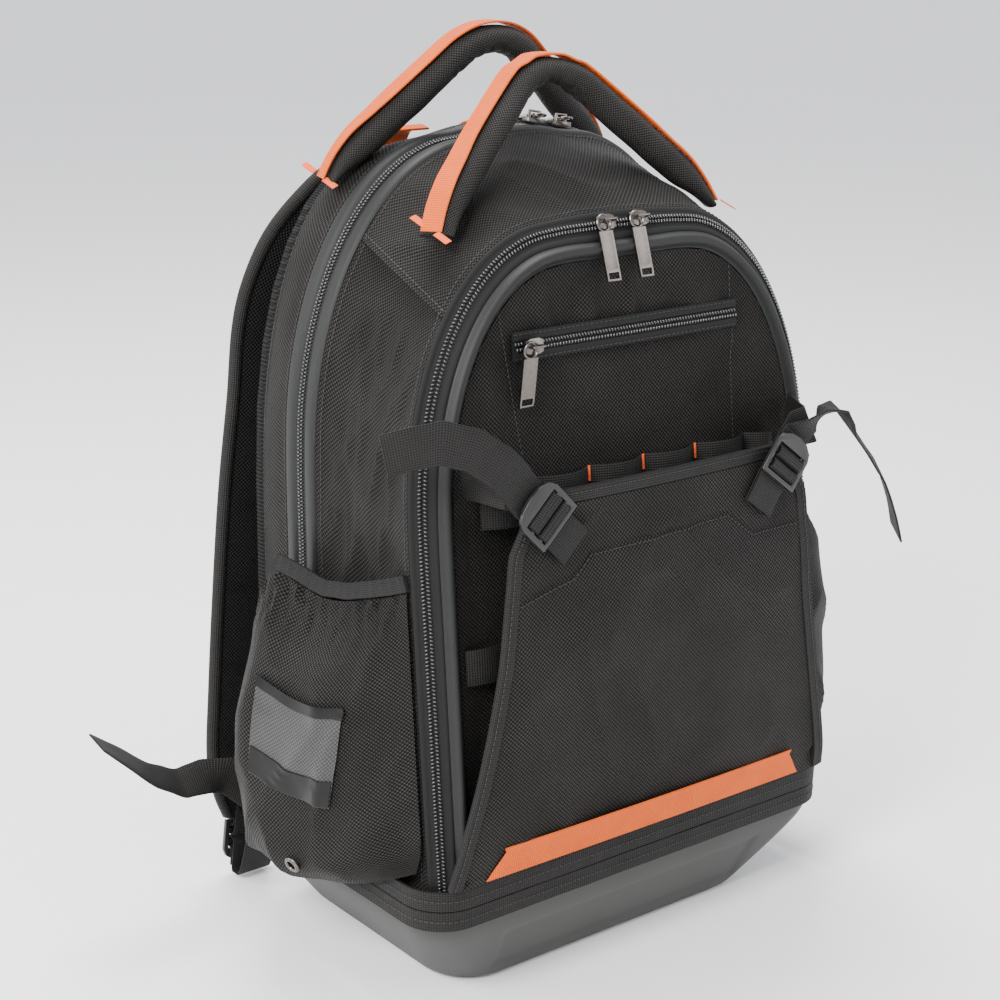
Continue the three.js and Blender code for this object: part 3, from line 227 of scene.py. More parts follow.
def skin(name, sections, loop=False, flat=None, angle=40):
    """A closed mesh through sections, with a UV map in metres along it and round it."""
    count, size = len(sections), len(sections[0])
    columns = count if loop else count - 1
    bm = bmesh.new()
    layer = bm.loops.layers.uv.new("cloth")
    bmesh.ops.create_grid(bm, x_segments=columns, y_segments=size, size=0.5)
    low, high = min(v.co.x for v in bm.verts), max(v.co.x for v in bm.verts)
    places = {v: (round((v.co.x - low) / (high - low) * columns), round((v.co.y - low) / (high - low) * size))
              for v in bm.verts}
    along, around = [0.0], [0.0]
    centres = [middle(row) for row in sections]
    for i in range(columns):
        along.append(along[-1] + (centres[(i + 1) % count] - centres[i]).length)
    row = sections[count // 2]
    for j in range(size):
        around.append(around[-1] + (row[(j + 1) % size] - row[j]).length)
    for vert, (i, j) in places.items():
        vert.co = sections[i % count][j % size]
    for face in bm.faces:
        for corner in face.loops:
            i, j = places[corner.vert]
            at = corner.vert.co
            corner[layer].uv = (at[flat[0]], at[flat[1]]) if flat else (along[i], around[j])
    bmesh.ops.remove_doubles(bm, verts=bm.verts, dist=1e-7)
    bmesh.ops.holes_fill(bm, edges=[e for e in bm.edges if e.is_boundary], sides=0)
    bmesh.ops.recalc_face_normals(bm, faces=bm.faces)
    return finished_mesh(name, bm, angle)


def finished_mesh(name, bm, angle=40):
    mesh = bpy.data.meshes.new(name)
    bm.to_mesh(mesh)
    bm.free()
    mesh.polygons.foreach_set("use_smooth", [True] * len(mesh.polygons))
    mesh.set_sharp_from_angle(angle=math.radians(angle))
    piece = bpy.data.objects.new(name, mesh)
    bpy.context.scene.collection.objects.link(piece)
    return piece


def fitted(piece, look, *nodes, body="pack"):
    """Gives the piece its material, its body and the solids that it stands for."""
    piece.data.materials.clear()
    piece.data.materials.append(FINISHES[look])
    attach(piece, body)
    if nodes:
        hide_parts(*nodes)
    return piece


def repeated(name, shape, places):
    """Many copies of one small shape in one piece."""
    bm = bmesh.new()
    for place in places:
        one = shape.copy()
        one.transform(place)
        bm.from_mesh(one)
        bpy.data.meshes.remove(one)
    return finished_mesh(name, bm, 60)


def bead(length, width, height):
    """A small rounded shape along X, for zip teeth and threads."""
    bm = bmesh.new()
    bmesh.ops.create_uvsphere(bm, u_segments=6, v_segments=4, radius=0.5)
    bmesh.ops.scale(bm, vec=(length, width, height), verts=bm.verts)
    mesh = bpy.data.meshes.new("bead")
    bm.to_mesh(mesh)
    bm.free()
    return mesh


def turned_to(place, along, out):
    """Matrix for a shape at a place, with its X along and its Z outwards."""
    x = along.normalized()
    z = (out - x * out.dot(x)).normalized()
    y = z.cross(x)
    matrix = Matrix((x, y, z)).transposed().to_4x4()
    matrix.translation = place
    return matrix


def edges_rounded(bm, width, segments=2, clamp=True):
    """Rounds each edge that turns by more than 30 degrees."""
    sharp = [e for e in bm.edges if len(e.link_faces) == 2 and e.calc_face_angle(0) > math.radians(30)]
    bmesh.ops.bevel(bm, geom=sharp, offset=width, segments=segments, profile=0.5, affect="EDGES",
                    material=-1, clamp_overlap=clamp)


def rounded_copy(name, node, width, segments=2):
    """A copy of a hard fitting with its edges rounded."""
    bm = bmesh.new()
    bm.from_mesh(frame["nodes"][node].data)
    bmesh.ops.remove_doubles(bm, verts=bm.verts, dist=1e-5)
    bmesh.ops.dissolve_limit(bm, angle_limit=math.radians(1), verts=bm.verts, edges=bm.edges)
    edges_rounded(bm, width, segments)
    return finished_mesh(name, bm, 35)


# Finishes


class Finish:
    """A node material on the piece's own UV map or on object coordinates."""

    def __init__(self, name, coords="UV", **sockets):
        self.material = bpy.data.materials.new(name)
        self.material.use_nodes = True
        self.tree = self.material.node_tree
        self.shader = self.tree.nodes["Principled BSDF"]
        for socket, value in sockets.items():
            self.shader.inputs[socket.replace("_", " ")].default_value = value
        if coords == "UV":
            self.source = self.node("ShaderNodeUVMap", uv_map="cloth").outputs[0]
        else:
            self.source = self.node("ShaderNodeTexCoord").outputs["Object"]
        split = self.node("ShaderNodeSeparateXYZ")
        self.tree.links.new(self.source, split.inputs[0])
        self.u, self.v = split.outputs[:2]

    def node(self, kind, **settings):
        made = self.tree.nodes.new(kind)
        for key, value in settings.items():
            setattr(made, key, value)
        return made

    def plug(self, value, socket):
        if isinstance(value, (int, float)):
            socket.default_value = value
        else:
            self.tree.links.new(value, socket)

    def calc(self, operation, *values):
        made = self.node("ShaderNodeMath", operation=operation)
        for value, socket in zip(values, made.inputs):
            self.plug(value, socket)
        return made.outputs[0]

    def wave(self, value, pitch):
        """A cosine that repeats every pitch."""
        return self.calc("COSINE", self.calc("MULTIPLY", value, 2 * math.pi / pitch))

    def noise(self, scale, detail=3.0):
        made = self.node("ShaderNodeTexNoise")
        made.inputs["Scale"].default_value = scale
        made.inputs["Detail"].default_value = detail
        self.tree.links.new(self.source, made.inputs["Vector"])
        return made.outputs["Fac"]

    def dyed(self, factor, stops):
        """Colour from a ramp of places and colours."""
        made = self.node("ShaderNodeValToRGB")
        while len(made.color_ramp.elements) < len(stops):
            made.color_ramp.elements.new(0.5)
        for element, (at, colour) in zip(made.color_ramp.elements, stops):
            element.position = at
            element.color = (*colour, 1)
        self.plug(factor, made.inputs[0])
        self.plug(made.outputs[0], self.shader.inputs["Base Color"])

    def rough(self, factor, low, high):
        self.plug(self.calc("MULTIPLY_ADD", factor, high - low, low), self.shader.inputs["Roughness"])

    def raised(self, height, depth):
        made = self.node("ShaderNodeBump")
        made.inputs["Distance"].default_value = depth
        made.inputs["Strength"].default_value = 1.45
        self.plug(height, made.inputs["Height"])
        self.plug(made.outputs[0], self.shader.inputs["Normal"])


def woven(name, pitch, dark, light, depth, **sockets):
    """Basket weave: yarns that cross over and under, with worn patches of uneven tone; the colour paints a
    highlight on the yarn crowns and shade in the gaps between them.
    """
    f = Finish(name, **sockets)
    cross = f.calc("MULTIPLY", f.wave(f.u, pitch), f.wave(f.v, pitch))
    fibres = f.calc("MULTIPLY", f.wave(f.u, pitch / 5), f.wave(f.v, pitch / 5))
    height = f.calc("MULTIPLY_ADD", fibres, 0.12, f.calc("MULTIPLY_ADD", cross, 0.5, 0.5))
    # Colour: painted highlight on the yarn crowns and painted shade in the gaps between yarns, from the yarn
    # height, over random patches of tone
    tone = f.calc("MULTIPLY_ADD", f.noise(18.0), 0.35, f.calc("MULTIPLY_ADD", height, 0.85, -0.17))
    f.dyed(tone, [(0.3, dark), (0.62, [0.3 * c for c in light]), (0.95, light)])
    f.rough(height, 0.75, 0.5)
    f.raised(height, depth)
    return f.material


def ribbed(name, along_pitch, across_pitch, dark, light, depth, roughness=(0.6, 0.8), slant=0.0, **sockets):
    """Narrow weave: ribs along the webbing crossed by finer rows, slanted for herringbone tape."""
    f = Finish(name, **sockets)
    u = f.calc("ADD", f.calc("PINGPONG", f.v, slant), f.u) if slant else f.u
    rows = f.wave(u, along_pitch)
    ribs = f.wave(f.v, across_pitch)
    height = f.calc("MULTIPLY_ADD", rows, 0.25, f.calc("MULTIPLY_ADD", ribs, 0.25, 0.5))
    # Colour: painted highlight on the ribs and painted shade in the grooves between them, from the rib height,
    # over random patches of tone
    tone = f.calc("MULTIPLY_ADD", f.noise(60.0), 0.35, f.calc("MULTIPLY_ADD", height, 0.8, -0.15))
    f.dyed(tone, [(0.1, dark), (0.9, light)])
    f.rough(height, roughness[1], roughness[0])
    f.raised(height, depth)
    return f.material


def moulded(name, dark, light, scale, depth, roughness, **sockets):
    """Plastic, rubber or metal with a fine grain, mottling and slight wear."""
    f = Finish(name, coords="Object", **sockets)
    grain = f.noise(scale, 4.0)
    tone = f.calc("MULTIPLY_ADD", grain, 0.5, f.calc("MULTIPLY", f.noise(scale / 30), 0.5))
    f.dyed(tone, [(0.25, dark), (0.75, light)])
    f.rough(grain, *roughness)
    f.raised(grain, depth)
    return f.material


def spacer_mesh():
    """Open mesh: holes painted dark as shade between raised threads, which are painted lighter."""
    f = Finish("spacer_mesh_weave", Roughness=0.85, Specular_IOR_Level=0.15)
    holes = f.calc("MULTIPLY", f.wave(f.u, 2.6 * MM), f.wave(f.v, 2.6 * MM))
    # Painted shade in the holes, with lighter painted threads between them
    f.dyed(f.calc("MULTIPLY_ADD", holes, 0.5, 0.5), [(0.15, (0.016, 0.015, 0.014)), (0.6, (0.0015,) * 3)])
    f.raised(f.calc("MULTIPLY", holes, -1.0), 0.5 * MM)
    return f.material


# Each look, and its material
# Near-black of the gaps between yarns: painted shade in the weave
YARN_GAP_SHADE = (0.0006, 0.0005, 0.0004)
FINISHES = {
    "cloth": woven("ballistic_weave", 2.7 * MM, YARN_GAP_SHADE, (0.054, 0.048, 0.042), 0.45 * MM,
                   Specular_IOR_Level=0.14),
    "sleeve": woven("handle_weave", 2.1 * MM, YARN_GAP_SHADE, (0.064, 0.057, 0.051), 0.35 * MM,
                    Specular_IOR_Level=0.2),
    "webbing": ribbed("webbing_weave", 1.6 * MM, 1.5 * MM, (0.0008, 0.0007, 0.0006), (0.0155, 0.0137, 0.012),
                      0.3 * MM, Specular_IOR_Level=0.25),
    "elastic": ribbed("elastic_weave", 1.1 * MM, 1.3 * MM, (0.002, 0.002, 0.002), (0.01, 0.0095, 0.009),
                      0.25 * MM, Specular_IOR_Level=0.25),
    "orange": ribbed("orange_grosgrain", 1.5 * MM, 1.1 * MM, (0.46, 0.058, 0.004), (0.8, 0.135, 0.012),
                     0.28 * MM, roughness=(0.6, 0.75), Specular_IOR_Level=0.2),
    "tape": ribbed("zip_tape_weave", 0.9 * MM, 0.9 * MM, (0.0016, 0.0017, 0.0017), (0.0056, 0.0058, 0.0056),
                   0.05 * MM, roughness=(0.5, 0.62), slant=2.0 * MM, Specular_IOR_Level=0.35),
    "zip_web": ribbed("zip_web_weave", 0.9 * MM, 0.9 * MM, (0.0012, 0.0012, 0.0012), (0.0055, 0.0055, 0.0052),
                      0.05 * MM, slant=2.0 * MM, Specular_IOR_Level=0.25),
    "mesh": spacer_mesh(),
    "coil": moulded("zip_coil", (0.01, 0.01, 0.01), (0.03, 0.03, 0.029), 900.0, 0.02 * MM, (0.2, 0.3),
                    Specular_IOR_Level=0.8),
    "thread": moulded("black_thread", (0.006, 0.006, 0.006), (0.02, 0.019, 0.018), 900.0, 0.05 * MM,
                      (0.5, 0.7)),
    "orange_thread": moulded("orange_thread", (0.6, 0.075, 0.005), (0.85, 0.13, 0.012), 900.0, 0.05 * MM,
                             (0.5, 0.7)),
    "rubber": moulded("tray_rubber", (0.027, 0.027, 0.025), (0.039, 0.039, 0.036), 700.0, 0.06 * MM,
                      (0.5, 0.64), Specular_IOR_Level=0.35),
    "nickel": moulded("gunmetal_nickel", (0.09, 0.08, 0.073), (0.19, 0.17, 0.155), 500.0, 0.03 * MM,
                      (0.24, 0.38), Metallic=1.0),
    "plastic": moulded("black_acetal", (0.007, 0.007, 0.007), (0.014, 0.014, 0.0135), 800.0, 0.03 * MM,
                       (0.3, 0.42), Specular_IOR_Level=0.4),
    "card": moulded("black_card", (0.0015, 0.0015, 0.0015), (0.004, 0.004, 0.004), 600.0, 0.01 * MM,
                    (0.3, 0.42), Specular_IOR_Level=0.2),
    "film": woven("film_over_cloth", 2.7 * MM, (0.001, 0.001, 0.001), (0.05, 0.046, 0.042), 0.3 * MM,
                  Coat_Weight=0.4, Coat_Roughness=0.12, Coat_IOR=1.4),
}


# Stitches


STITCH = {"long": 3.0, "wide": 0.75, "pitch": 3.6, "lift": 0.15}
THREAD = bead(*(STITCH[key] * MM for key in ("long", "wide", "wide")))
stitches = []
orange_stitches = []


def paced(points, first, pitch):
    """Places at a pitch along a line, each with the number and direction of its run."""
    left = first
    for k, (a, b) in enumerate(zip(points, points[1:])):
        length = (b - a).length
        while left <= length and length > 1e-7:
            yield k, a + (b - a) * (left / length), b - a
            left += pitch
        left -= length


def stitch_row(points, outs):
    """A row of stitches along a line of points that lie on cloth."""
    pitch = STITCH["pitch"] * MM
    for k, place, run in paced(points, pitch / 2, pitch):
        stitches.append(turned_to(place + outs[k] * (STITCH["lift"] * MM), run, outs[k]))


def seam_on(piece, corners):
    """Stitches along straight runs between corners, laid on a piece as seen from the front."""
    mesh = piece.data
    tree = BVHTree.FromPolygons([v.co for v in mesh.vertices], [p.vertices for p in mesh.polygons])
    look = Vector((0, 1, 0))
    points, outs = [], []
    for (x, z), (to_x, to_z) in zip(corners, corners[1:]):
        a, b = Vector((x, 0, z)), Vector((to_x, 0, to_z))
        count = max(1, round((b - a).length / (3 * MM)))
        for i in range(count + 1):
            place, normal, _, _ = tree.ray_cast(blended(a, b, i / count) - look * 0.5, look)
            if place:
                points.append(place)
                outs.append(normal)
    stitch_row(points, outs)


def bartack(place, along, out, length, width):
    """A dense bar of orange thread, sewn side to side along its length."""
    across = out.cross(along).normalized()
    count = round(length / (0.55 * MM))
    shape = Matrix.Diagonal((width / (STITCH["long"] * MM), 0.95, 1.2, 1))
    for i in range(count):
        at = place + along * (length * (i / (count - 1) - 0.5)) + out * (0.5 * MM)
        orange_stitches.append(turned_to(at, across + along * 0.12, out) @ shape)


# Cloth walls


def fold(point, scale, stretch=(1, 1, 1), seed=0.0):
    """Soft uneven folds, from -1 to 1."""
    at = Vector((point.x * stretch[0], point.y * stretch[1], point.z * stretch[2])) * scale
    return noise.noise(at + Vector((seed, seed * 1.7, -seed)))


def crease(point, scale, stretch=(1, 1, 1), seed=0.0):
    """Sharp-crested folds, from 0 to 1."""
    return (1 - min(1, abs(fold(point, scale, stretch, seed)) * 2.4)) ** 2


def wall_rows(node, size, step, across, slope=None):
    """A wall's rows at even steps, each with its outer and its inner points."""
    pairs = faces_of_wall(sections_of(node, size, slope))
    joined = drawn_out([outer + inner for outer, inner in pairs], step)
    half = size // 2
    return [(along_curve(row[:half], across), along_curve(row[half:], across)) for row in joined]


def outwards(rows, i, j):
    """Outward direction of the outer face at a place in its grid."""
    outer = rows[i][0]
    before, after = rows[max(i - 1, 0)][0][j], rows[min(i + 1, len(rows) - 1)][0][j]
    direction = (after - before).cross(outer[min(j + 1, len(outer) - 1)] - outer[max(j - 1, 0)])
    if direction.length < 1e-12:
        direction = outer[j] - INSIDE
    direction.normalize()
    return -direction if direction.dot(outer[j] - rows[i][1][j]) < 0 else direction


def shaped(rows, offset):
    """Moves both faces of a wall outwards by offset(point, share along, share across)."""
    made = []
    for i, (outer, inner) in enumerate(rows):
        moves = [outwards(rows, i, j) * offset(p, i / (len(rows) - 1), j / (len(outer) - 1))
                 for j, p in enumerate(outer)]
        made.append(([p + m for p, m in zip(outer, moves)], [p + m for p, m in zip(inner, moves)]))
    return made


def cloth_wall(name, rows, look, *nodes, flat=None, seams=()):
    """A piece from a wall's rows, with stitches along the columns given as seams."""
    piece = fitted(skin(name, [outer + inner[::-1] for outer, inner in rows], flat=flat), look, *nodes)
    for j in seams:
        stitch_row([outer[j] for outer, _ in rows], [outwards(rows, i, j) for i in range(len(rows))])
    return piece


def held(share, margin):
    """0 at both ends of a wall, 1 away from them."""
    return eased(min(share, 1 - share), 0, margin)


EDGE_SEAMS = (2, -3)


def side_panels():
    for side, seed in (("left", 3.1), ("right", 8.4)):
        def offset(p, along, across):
            free = held(along, 0.12) * held(across, 0.2)
            above = eased(p.z, 0.2, 0.27)
            soft = fold(p, 14, (1, 1.3, 0.7), seed) * 3.2 * MM
            puckers = crease(p, 30, (1, 2.6, 0.8), seed) * 2.0 * MM * above
            hang = crease(p + Vector((0, p.z * 0.35, 0)), 17, (1, 1.6, 0.6), seed + 5) * 3.0 * MM
            return free * (soft + puckers + hang - 2.5 * MM)

        rows = shaped(wall_rows(f"side_panel_{side}", 10, 4 * MM, 34), offset)
        cloth_wall(f"side_cloth_{side}", rows, "cloth", f"side_panel_{side}", seams=EDGE_SEAMS)


# Where the front handle's feet pull the top panel in
FEET = [Vector((-0.101, -0.045, 0.466)), Vector((0.101, -0.045, 0.466))]


def top_panel():
    def offset(p, along, across):
        free = held(along, 0.05) * held(across, 0.16)
        soft = fold(p, 11, seed=1.3) * 3.0 * MM
        pulled = crease(p + Vector((p.y * 0.4, 0, 0)), 20, (1.2, 0.55, 0.8), 4.4) * 2.6 * MM
        dents = sum(math.exp(-((p - at).length / (24 * MM)) ** 2) for at in FEET) * 3.0 * MM
        return free * (soft + pulled - dents - 1.5 * MM)

    rows = shaped(wall_rows("top_panel", 10, 4 * MM, 40), offset)
    cloth_wall("top_cloth", rows, "cloth", "top_panel", seams=EDGE_SEAMS)
    for i in (1, len(rows) - 2):
        edge = rows[i][0]
        stitch_row(edge, [outwards(rows, i, j) for j in range(len(edge))])


def gusset_and_piping():
    def gusset(p, along, across):
        return held(across, 0.2) * held(along, 0.04) * fold(p, 16, (1, 1, 0.6), 6.2) * 2.4 * MM

    def piping(p, along, across):
        return held(along, 0.03) * math.sin(math.pi * eased(across, 0.12, 0.88)) ** 0.7 * 2.4 * MM

    rows = shaped(wall_rows("back_gusset", 8, 4 * MM, 24), gusset)
    cloth_wall("gusset_cloth", rows, "cloth", "back_gusset", seams=EDGE_SEAMS)
    rows = shaped(wall_rows("front_piping", 8, 4 * MM, 14), piping)
    cloth_wall("piping_cloth", rows, "tape", "front_piping")


TOOTH = {"long": 1.5, "wide": 2.9, "high": 2.1, "pitch": 1.15, "row": 1.6}


def zip_teeth(name, line, outs, sides):
    """Two rows of teeth that mesh along a line."""
    tooth = bead(*(TOOTH[key] * MM for key in ("long", "wide", "high")))
    pitch = TOOTH["pitch"] * MM
    places = []
    for count, (k, at, run) in enumerate(paced(line, pitch, pitch)):
        side = sides[k] * (-1 if count % 2 else 1)
        places.append(turned_to(at + side * (TOOTH["row"] * MM), run + side * (0.3 * run.length), outs[k]))
    fitted(repeated(name, tooth, places), "coil")


def arch_zips():
    """Tapes that dome on both sides of a groove, with the teeth along it."""
    shares = [i / 28 for i in range(29)]
    for name, look, dome in (("front", "zip_web", 0.5 * MM), ("main", "tape", 2.2 * MM)):
        pairs = faces_of_wall(sections_of(f"{name}_zip", 12))
        rows = drawn_out([[outer[0], outer[-1], inner[0], inner[-1]] for outer, inner in pairs], 4 * MM)
        flat = [([a, b], [c, d]) for a, b, c, d in rows]
        outs = [outwards(flat, i, 0) for i in range(len(flat))]
        made, line, sides = [], [], []
        for i, ((a, b), (c, d)) in enumerate(flat):
            groove = min(0.32, 4.6 * MM / (b - a).length + 0.04)
            rise = 0.35 + 0.65 * eased(min(i, len(flat) - 1 - i), 3, 9)
            outer = []
            for share in shares:
                away = abs(share - 0.5)
                band = max(0.0, 1 - abs((away - (0.5 + groove) / 2) / ((0.5 - groove) / 2)) ** 2.6)
                lift = dome * band ** 0.6 if away > groove else 0.0
                outer.append(blended(a, b, share) + outs[i] * (lift * rise))
            made.append((outer, [blended(c, d, share) for share in shares]))
            line.append(blended(a, b, 0.5) + outs[i] * (0.75 * MM))
            sides.append((b - a).normalized())
        cloth_wall(f"{name}_zip_tape", made, look, f"{name}_zip")
        zip_teeth(f"{name}_zip_teeth", line, outs, sides)


def outline_panel(name, node, look, rings, offset, step):
    """A panel inside an outline: its edge as the solid has it, and rings that shrink to its middle."""
    edges = sections_of(node, 31)
    if abs(middle(edges[0]).y) < abs(middle(edges[-1]).y):
        edges = edges[::-1]
    outlines = [along_loop(edge, step) for edge in edges]
    front = outlines[0]
    centre = middle(front)
    centre.z = (min(p.z for p in front) + max(p.z for p in front)) * 0.42
    out = Vector((0, -1 if centre.y < 0 else 1, 0))
    face = []
    for share in rings:
        ring = [blended(centre, p, share) for p in front]
        face.append([p + out * offset(p, share) for p in ring])
    return fitted(skin(name, [*face, *outlines], flat=(0, 2), angle=50), look, node)


def along_loop(points, step):
    """A closed outline filled in along its own straight and curved runs."""
    made = []
    for a, b in zip(points, [*points[1:], points[0]]):
        count = max(1, round((b - a).length / step))
        made += [blended(a, b, i / count) for i in range(count)]
    return made


def front_panel():
    def offset(p, share):
        free = eased(1 - share, 0, 0.12)
        soft = fold(p, 13, (1, 1, 0.8), 2.2) * 3.2 * MM
        pleats = crease(p + Vector((p.z * 0.15, 0, 0)), 20, (1.5, 1, 0.35), 9.1) * 3.4 * MM
        pinched = crease(p - Vector((p.z * 0.5, 0, 0)), 24, (1.2, 1, 0.5), 4.1) * 2.6 * MM
        return free * (soft + pleats * eased(p.z, 0.32, 0.42) + pinched * eased(p.z, 0.39, 0.44) - 2.2 * MM)

    rings = [0.012, *[0.025 * i for i in range(1, 39)], 0.98]
    piece = outline_panel("front_cloth", "front_panel", "cloth", rings, offset, 3 * MM)
    seam_on(piece, [(0.085, 0.442), (0.0885, 0.3)])
    seam_on(piece, [(-0.1, 0.438), (-0.083, 0.34), (-0.083, 0.25)])


def back_panel():
    def offset(p, share):
        channel = sum(math.exp(-((abs(p.x) - x) / (5 * MM)) ** 2) for x in (0.028, 0.085))
        rows = math.exp(-(((p.z + abs(p.x) * 0.5) % 0.075 - 0.0375) / (4 * MM)) ** 2)
        return eased(1 - share, 0, 0.1) * (1.5 * MM - 3.5 * MM * min(1, channel) - 2.4 * MM * rows)

    rings = [0.02, *[0.04 * i for i in range(1, 24)], 0.95]
    piece = outline_panel("back_pad", "back_panel", "mesh", rings, offset, 5 * MM)


# Straps


def all_round(quarter):
    """A closed section from its quarter between (-1, 0) and (0, 1)."""
    top = [*quarter, *((-a, b) for a, b in quarter[-2:0:-1])]
    return [*top, *((-a, -b) for a, b in top)]


STRAP_SECTION = all_round([(-1, 0), (-0.985, 0.7), (-0.95, 1), (-0.5, 1), (0, 1)])


def strap_route(node, step=2.5 * MM):
    """A strap's middle, half-width and half-thickness vectors along its length."""
    rings = sections_of(node, 4)
    wide = (rings[1][1] - rings[1][0]).length > (rings[1][2] - rings[1][1]).length
    route = []
    for p, q, r, s in rings if wide else [[b, c, d, a] for a, b, c, d in rings]:
        at = middle([p, q, r, s])
        route.append([at, at + (q - p + r - s) / 4, at + (s - p + r - q) / 4])
    return [(c, a - c, b - c) for c, a, b in drawn_out(route, step)]


def strap_sections(route, ripple=None):
    """Sections of webbing of one thickness, which ripple(share along, share across) may lift."""
    thick = route[0][2].length
    rows = []
    for i, (at, side, up) in enumerate(route):
        up = (up - side * (up.dot(side) / side.length_squared)).normalized()
        share = i / (len(route) - 1)
        rows.append([at + side * a + up * (b * thick + (ripple(share, a) if ripple else 0))
                     for a, b in STRAP_SECTION])
    return rows


def strap(name, node, look, ripple=None, step=2.5 * MM):
    route = strap_route(node, step)
    fitted(skin(name, strap_sections(route, ripple)), look, node)
    return route


def gathered(share, across):
    return 0.6 * MM * math.sin(share * 95) * (1 - across * 0.5)


# Webbing pieces of both sides: name, node, look and step along
STRAPS = [
    ("flap_strap_webbing", "flap_strap", "webbing", 2.5 * MM),
    ("flap_tab_webbing", "flap_tab", "webbing", 1.5 * MM),
    ("corner_webbing", "strap_webbing", "webbing", 2.5 * MM),
    ("waist_webbing", "waist_strap", "webbing", 2.5 * MM),
    ("yoke_webbing", "strap_yoke", "orange", 2.5 * MM),
    ("side_loop_webbing", "side_loop", "webbing", 2.5 * MM),
]
TOOL_LOOP_TACKS = (-0.035, 0.008, 0.051)


def straps():
    for side in ("left", "right"):
        for name, node, look, step in STRAPS:
            strap(f"{name}_{side}", f"{node}_{side}", look, step=step)
        strap(f"pocket_hem_{side}", f"pocket_elastic_{side}", "elastic", gathered)
    route = strap("tool_loop_webbing", "tool_loop_band", "webbing")
    for x in TOOL_LOOP_TACKS:
        at, side, up = min(route, key=lambda stop: abs(stop[0].x - x) - stop[0].y * 0.5)
        upward = side.normalized() * (1 if side.z > 0 else -1)
        top = at + upward * (side.length - 4.5 * MM) + FRONT_OUT * 0.7 * MM
        bartack(top, upward, FRONT_OUT, 9 * MM, 2.4 * MM)
    route = strap("flap_edge_binding", "flap_binding", "webbing")
    for face in (1, -1):
        line = [at - side * 0.35 + up * face for at, side, up in route]
        stitch_row(line, [up.normalized() * face for _, _, up in route])


TRIM = {"thick": 2, "radius": 29.3, "bulge": 1.05}


def trims():
    half = TRIM["thick"] / 2 * MM
    for name, seed in (("lower", 2.0), ("upper", 5.0)):
        low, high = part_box(f"trim_{name}")
        path = rounded_path(low, high, TRIM["radius"] * MM, half, 4 * MM)
        rise = Vector((0, 0, (high.z - low.z) / 2))
        rows = []
        for at, out in path:
            wave = fold(at, 30, seed=seed) * 0.35 * MM
            rows.append([at + out * (b * half * TRIM["bulge"] + wave * (b > 0)) + rise * a
                         for a, b in STRAP_SECTION])
        fitted(skin(f"trim_{name}_webbing", rows, loop=True), "webbing", f"trim_{name}")
        path.append(path[0])
        stitch_row([at + out * half for at, out in path], [out for _, out in path])


def rounded_path(low, high, radius, inset, step):
    """Places round a rounded rectangle at middle height, with their outward directions."""
    z = (low.z + high.z) / 2
    corners = [(high.x - radius, high.y - radius, 0), (low.x + radius, high.y - radius, 90),
               (low.x + radius, low.y + radius, 180), (high.x - radius, low.y + radius, 270)]
    ends = []
    for x, y, start in corners:
        for i in range(13):
            angle = math.radians(start + 7.5 * i)
            out = Vector((math.cos(angle), math.sin(angle), 0))
            ends.append((Vector((x, y, z)) + out * (radius - inset), out))
    path = []
    for k, (at, out) in enumerate(ends):
        path.append((at, out))
        after = ends[(k + 1) % len(ends)][0]
        if (after - at).length > 3 * step:
            count = round((after - at).length / step)
            path += [(blended(at, after, i / count), out) for i in range(1, count)]
    return path


# Base tray


# Outlines at the rim and the foot: half-width, front, back and corner radius, in mm
TRAY = {"rim": (167, -117.4, 92.4, 27), "foot": (122, -84, 90, 34), "wall": 3, "height": 74, "points": 300}
# Shares of the height, and of the way from the foot's outline to the rim's
TRAY_RISE = [(0.0, 0.0), (0.035, 0.10), (0.11, 0.22), (0.60, 0.80), (0.80, 0.96), (1.0, 1.0)]
RECESS = {"half": 105, "flare": 1.03, "low": 12, "high": 46, "deep": 1.2, "edge": 1.6}


def tray_ring(out, inset, z):
    half, front, back, radius = (blended(f, r, out) for f, r in zip(TRAY["foot"], TRAY["rim"]))
    low = Vector((-half + inset, front + inset, z)) * MM
    high = Vector((half - inset, back - inset, z)) * MM
    path = rounded_path(low, high, (radius - inset) * MM, 0, 3 * MM)
    return evened([at for at, _ in path], TRAY["points"])


def recess(p):
    """How far the front face's recess pushes a point in."""
    z = p.z / MM
    share = (z - RECESS["low"]) / (RECESS["high"] - RECESS["low"])
    half = RECESS["half"] * blended(1, RECESS["flare"], share)
    inside = min(z - RECESS["low"], RECESS["high"] - z, half - abs(p.x) / MM)
    return RECESS["deep"] * MM * eased(inside, 0, RECESS["edge"])


def tray():
    curve = along_curve([Vector((rise, out, 0)) for rise, out in TRAY_RISE], 51)
    wall, height = TRAY["wall"], TRAY["height"]
    rows = [tray_ring(min(1, point.y), 0, point.x * height) for point in curve]
    for p in sum(rows, []):
        if p.y < -0.08:
            p.y += recess(p)
    rows += [tray_ring(min(1, point.y), wall, max(wall, point.x * height)) for point in curve[::-5]]
    fitted(skin("tray_shell", rows, angle=35), "rubber", "base_tray")


def evened(ring, count):
    """A closed outline with a given number of evenly spread points, starting at its first."""
    marks = [0.0]
    chain = [*ring, ring[0]]
    for a, b in zip(chain, chain[1:]):
        marks.append(marks[-1] + (b - a).length)
    made, k = [], 0
    for i in range(count):
        at = marks[-1] * i / count
        while marks[k + 1] < at:
            k += 1
        made.append(blended(chain[k], chain[k + 1], (at - marks[k]) / max(1e-9, marks[k + 1] - marks[k])))
    return made


# Flap


# Corners of the flap's cross seam, as seen from the front
FLAP_SEAM = [(-0.114, 0.264), (-0.074, 0.273), (-0.060, 0.285),
             (0.050, 0.289), (0.071, 0.273), (0.113, 0.273)]


def gap_to(x, z, corners):
    """Distance from a point to a line of corners, seen from the front."""
    at = Vector((x, z))
    near = 1.0
    for a, b in zip(corners, corners[1:]):
        a, run = Vector(a), Vector(b) - Vector(a)
        share = min(1, max(0, (at - a).dot(run) / run.length_squared))
        near = min(near, (at - a - run * share).length)
    return near


